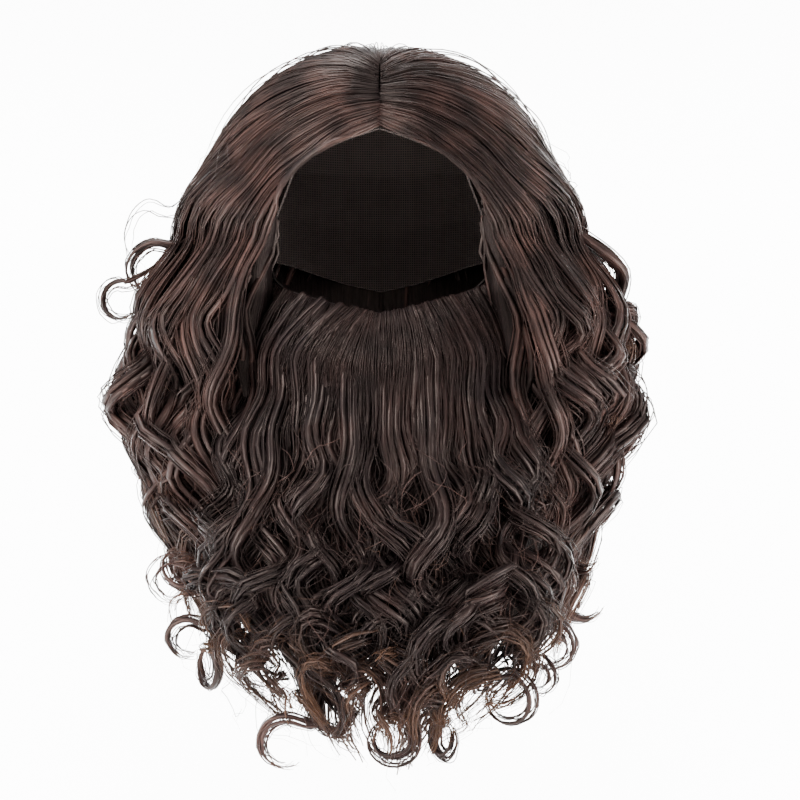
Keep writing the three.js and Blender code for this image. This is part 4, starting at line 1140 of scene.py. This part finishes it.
class WIG_OT_outline_curls(bpy.types.Operator):
    """Makes the curls that stand out of the outline, each a lock that closes to a ring"""

    bl_idname = "wig.outline_curls"
    bl_label = "Outline curls"

    def execute(self, context):
        settings = context.scene.wig_hair
        rng = np.random.default_rng(SEEDS["curls"])
        steps = 31
        t = np.linspace(0, 1, steps)
        size = 5.5 * (1 - 0.65 * smooth(t, 0.35, 1))
        made = []
        for curl in OUTLINE_CURLS:
            guide = outline_curl_guide(curl, steps)[None]
            first = np.array([[0.0, -1.0, 0.0]])
            for count, core in ((curl["bundles"], 0.2), (curl["hairs"], 0.3)):
                if not count:
                    continue
                paths, outward = bundle(rng, guide, first, count, size, size, core)
                loose = 1.6 if core > 0.25 else 0.5
                paths = paths + wander(rng, len(paths), steps, 2.5, loose) * t[None, :, None]
                paths, outward = cut_to(rng.uniform(0.84, 1, len(paths)), paths, outward)
                if core > 0.25:
                    made.append(hair_tubes(rng, paths, settings.fibre / MM))
                else:
                    made.append(bundle_tubes(rng, paths, outward, CURL_BUNDLE["width"], CURL_BUNDLE["depth"]))
        make_piece("outline_curls", made, hair_material(settings, "modacrylic_hair"))
        return {"FINISHED"}


class WIG_OT_flyaways(bpy.types.Operator):
    """Adds single hairs that have come loose all over the wig and the beard"""

    bl_idname = "wig.flyaways"
    bl_label = "Loose hairs"

    def execute(self, context):
        settings = context.scene.wig_hair
        rng = np.random.default_rng(SEEDS["loose"])
        count, steps = settings.loose_hairs, 18
        t = np.linspace(0, 1, steps)[None]
        azimuth = rng.uniform(58, 302, (count, 1))
        top = rng.uniform(-330, 0, (count, 1))
        length = rng.uniform(50, 120, (count, 1))
        out = 2 + rng.uniform(2, 16, (count, 1)) * smooth(t, 0, 0.7)
        wave = 9 * np.sin(t * rng.uniform(3, 8, (count, 1)) + rng.uniform(0, 6, (count, 1)))
        paths = outer_hair(azimuth + wave * 0.5, top - length * t, out)
        half = count * 2 // 5
        across = rng.uniform(-0.9, 0.9, (half, 1)) + wave[:half] * 0.012
        paths[:half] = beard_top_place(across, -232 + 0.5 * top[:half] - 0.7 * length[:half] * t, out[:half])
        paths += wander(rng, count, steps, 1.5, 7.0) * t[..., None]
        hairs = hair_tubes(rng, clear_of_head(paths), 0.6 * settings.fibre / MM)
        make_piece("loose_hairs", [hairs], hair_material(settings, "modacrylic_hair"))
        return {"FINISHED"}


class WIG_OT_beard(bpy.types.Operator):
    """Makes the beard: closely packed under hair in painted shade, smooth hair over the cloth, and waved and
    curled lengths
    """

    bl_idname = "wig.beard"
    bl_label = "Beard"

    def execute(self, context):
        settings = context.scene.beard_hair
        material = hair_material(settings, "modacrylic_beard")
        columns, rows = 73, 36
        across = np.linspace(-1, 1, columns)[None]
        edge = beard_edge(across)
        share = np.linspace(0, 1, rows)[:, None]
        reach = 0.74 - 0.1 * np.abs(across) ** 3 + 0.04 * np.sin(across * 40)
        low = BEARD["top"] - BEARD["length"] * reach
        z = mix(edge, low, share)
        wave = 3.5 * np.sin(2 * np.pi * -z / 62 + across * 14) * smooth(-z, 215, 300)
        sink = -2.4 - 12 * smooth(-z, 200, 290)
        outer = beard_top_place(across + 0 * z, z, sink + wave)
        thin = mix(1.2, 15.0, smooth(share, 0.02, 0.4)) * (1 - 0.9 * smooth(share, 0.6, 1))
        inner = beard_top_place(across + 0 * z, z, sink + wave - thin)
        nodes = ("beard_top_hair", "beard_hair_left", "beard_hair_centre", "beard_hair_right")
        # The beard's under hair takes a darker copy of its fibre: painted shade of the locks over it
        painted_shade = under_material_with_painted_shade(settings, "modacrylic_beard_painted_shade", "base")
        make_piece("beard_under_hair", [sheet_mesh(outer, inner)], painted_shade, nodes)

        bundles, hairs = [], []
        for n, layer in enumerate(BEARD_LAYERS):
            rng = np.random.default_rng(SEEDS["beard"] + n)
            motion = Motion(settings, 9, 36 if layer["rooted"] else 30, 0.16)
            guides, first = beard_guides(rng, layer, motion)
            made = dressed_layer(rng, guides, first, layer, motion, COMBED_FLAT, lambda paths: paths)
            bundles.append(made[0])
            hairs += made[1:]
        make_piece("beard_bundles", bundles, material)
        make_piece("beard_hairs", hairs, material)

        rng = np.random.default_rng(SEEDS["smooth"])
        count, steps = settings.smooth_hairs, 14
        own = rng.uniform(-1, 1, count)[:, None]
        rooted = beard_edge(own + beard_comb(own))
        edge = rooted + rng.uniform(-6, 0, (count, 1)) * (rng.uniform(0, 1, (count, 1)) < 0.6)
        reach = rng.uniform(50, 95, (count, 1))
        share = np.linspace(0, 1, steps)[None]
        lift = 1.8 + rng.uniform(-0.8, 1.2, (count, 1)) - 3.2 * (1 - smooth(share, 0, 0.2))
        lift = lift - 3.0 * smooth(share, 0.75, 1)
        sway = 0.02 * np.sin(share * 4 + own * 9) * share + beard_comb(own) * (1 - share) ** 1.3
        paths = beard_top_place(own + sway, edge - reach * share, lift)
        paths += wander(rng, count, steps, 1.3, 0.7) * share[..., None]
        smooth_hairs = hair_tubes(rng, paths, settings.fibre / MM)
        make_piece("beard_smooth_hair", [smooth_hairs], material)
        return {"FINISHED"}


class WIG_OT_stage(bpy.types.Operator):
    """Sets up the paper backdrop, the soft lights and the camera"""

    bl_idname = "wig.stage"
    bl_label = "Stage"

    def execute(self, context):
        settings = context.scene.wig_stage
        middle = PICTURE_MIDDLE
        bpy.ops.object.select_all(action="DESELECT")
        bpy.ops.mesh.primitive_plane_add(size=1, location=(0, 0, 0))
        backdrop = context.object
        backdrop.name = "paper_backdrop"
        for vertex in backdrop.data.vertices:
            y = PAPER["front"] if vertex.co.y < 0 else PAPER["back"]
            vertex.co = (vertex.co.x * PAPER["width"], y, settings.floor)
        bpy.ops.object.mode_set(mode="EDIT")
        bpy.ops.mesh.select_mode(type="EDGE")
        bpy.ops.mesh.select_all(action="DESELECT")
        bpy.ops.object.mode_set(mode="OBJECT")
        for edge in backdrop.data.edges:
            edge.select = all(backdrop.data.vertices[i].co.y > 0 for i in edge.vertices)
        bpy.ops.object.mode_set(mode="EDIT")
        bpy.ops.mesh.extrude_region_move(TRANSFORM_OT_translate={"value": (0, 0, PAPER["height"])})
        bpy.ops.object.mode_set(mode="OBJECT")
        bend = backdrop.modifiers.new("bend", "BEVEL")
        bend.width, bend.segments, bend.limit_method = PAPER["bend"], 16, "ANGLE"
        bpy.ops.object.modifier_apply(modifier="bend")
        bpy.ops.object.shade_smooth()
        backdrop.data.materials.append(painted_paper("backdrop_paper", "#ffffff"))

        world = bpy.data.worlds.new("studio_air")
        world.use_nodes = True
        air = world.node_tree.nodes["Background"]
        air.inputs["Color"].default_value = (1, 1, 1, 1)
        air.inputs["Strength"].default_value = 0.9
        context.scene.world = world
        for row in LIGHTS:
            bpy.ops.object.light_add(type="AREA", location=row["at"])
            light = context.object
            light.name = f"{row['name']}_light"
            light.data.shape, light.data.size, light.data.energy = "SQUARE", row["size"], row["power"]
            aim = [m - p for m, p in zip(row.get("to", middle), row["at"])]
            tilt = math.atan2(math.hypot(aim[0], aim[1]), -aim[2])
            light.rotation_euler = (tilt, 0, math.atan2(-aim[0], aim[1]))

        bpy.ops.object.camera_add(location=(middle[0], middle[1] - settings.distance, middle[2]),
                                  rotation=(math.radians(90), 0, 0))
        camera = context.object
        camera.data.sensor_width = SENSOR_WIDTH
        camera.data.lens = SENSOR_WIDTH * settings.distance / settings.width
        context.scene.camera = camera
        return {"FINISHED"}


OPERATORS = (
    WIG_OT_cap, WIG_OT_under_hair, WIG_OT_lengths, WIG_OT_short_locks, WIG_OT_combed_hair,
    WIG_OT_outline_curls, WIG_OT_beard, WIG_OT_flyaways, WIG_OT_stage,
)


class WIG_PT_panel(bpy.types.Panel):
    """Lists what makes the wig"""

    bl_idname = "WIG_PT_panel"
    bl_label = "Wig and beard"
    bl_space_type = "VIEW_3D"
    bl_region_type = "UI"
    bl_category = "Wig"

    def draw(self, context):
        for operator in OPERATORS:
            self.layout.operator(operator.bl_idname)


CLASSES = (WigHairSettings, BeardHairSettings, StageSettings, *OPERATORS, WIG_PT_panel)


def register():
    for cls in CLASSES:
        bpy.utils.register_class(cls)
    bpy.types.Scene.wig_hair = PointerProperty(type=WigHairSettings)
    bpy.types.Scene.beard_hair = PointerProperty(type=BeardHairSettings)
    bpy.types.Scene.wig_stage = PointerProperty(type=StageSettings)


def unregister():
    del bpy.types.Scene.wig_stage, bpy.types.Scene.beard_hair, bpy.types.Scene.wig_hair
    for cls in reversed(CLASSES):
        bpy.utils.unregister_class(cls)


def main():
    register()
    bpy.ops.wig.cap()
    bpy.ops.wig.under_hair()
    bpy.ops.wig.lengths()
    bpy.ops.wig.short_locks()
    bpy.ops.wig.combed_hair()
    bpy.ops.wig.outline_curls()
    bpy.ops.wig.beard()
    bpy.ops.wig.flyaways()
    bpy.ops.wig.stage()


if __name__ == "__main__":
    main()
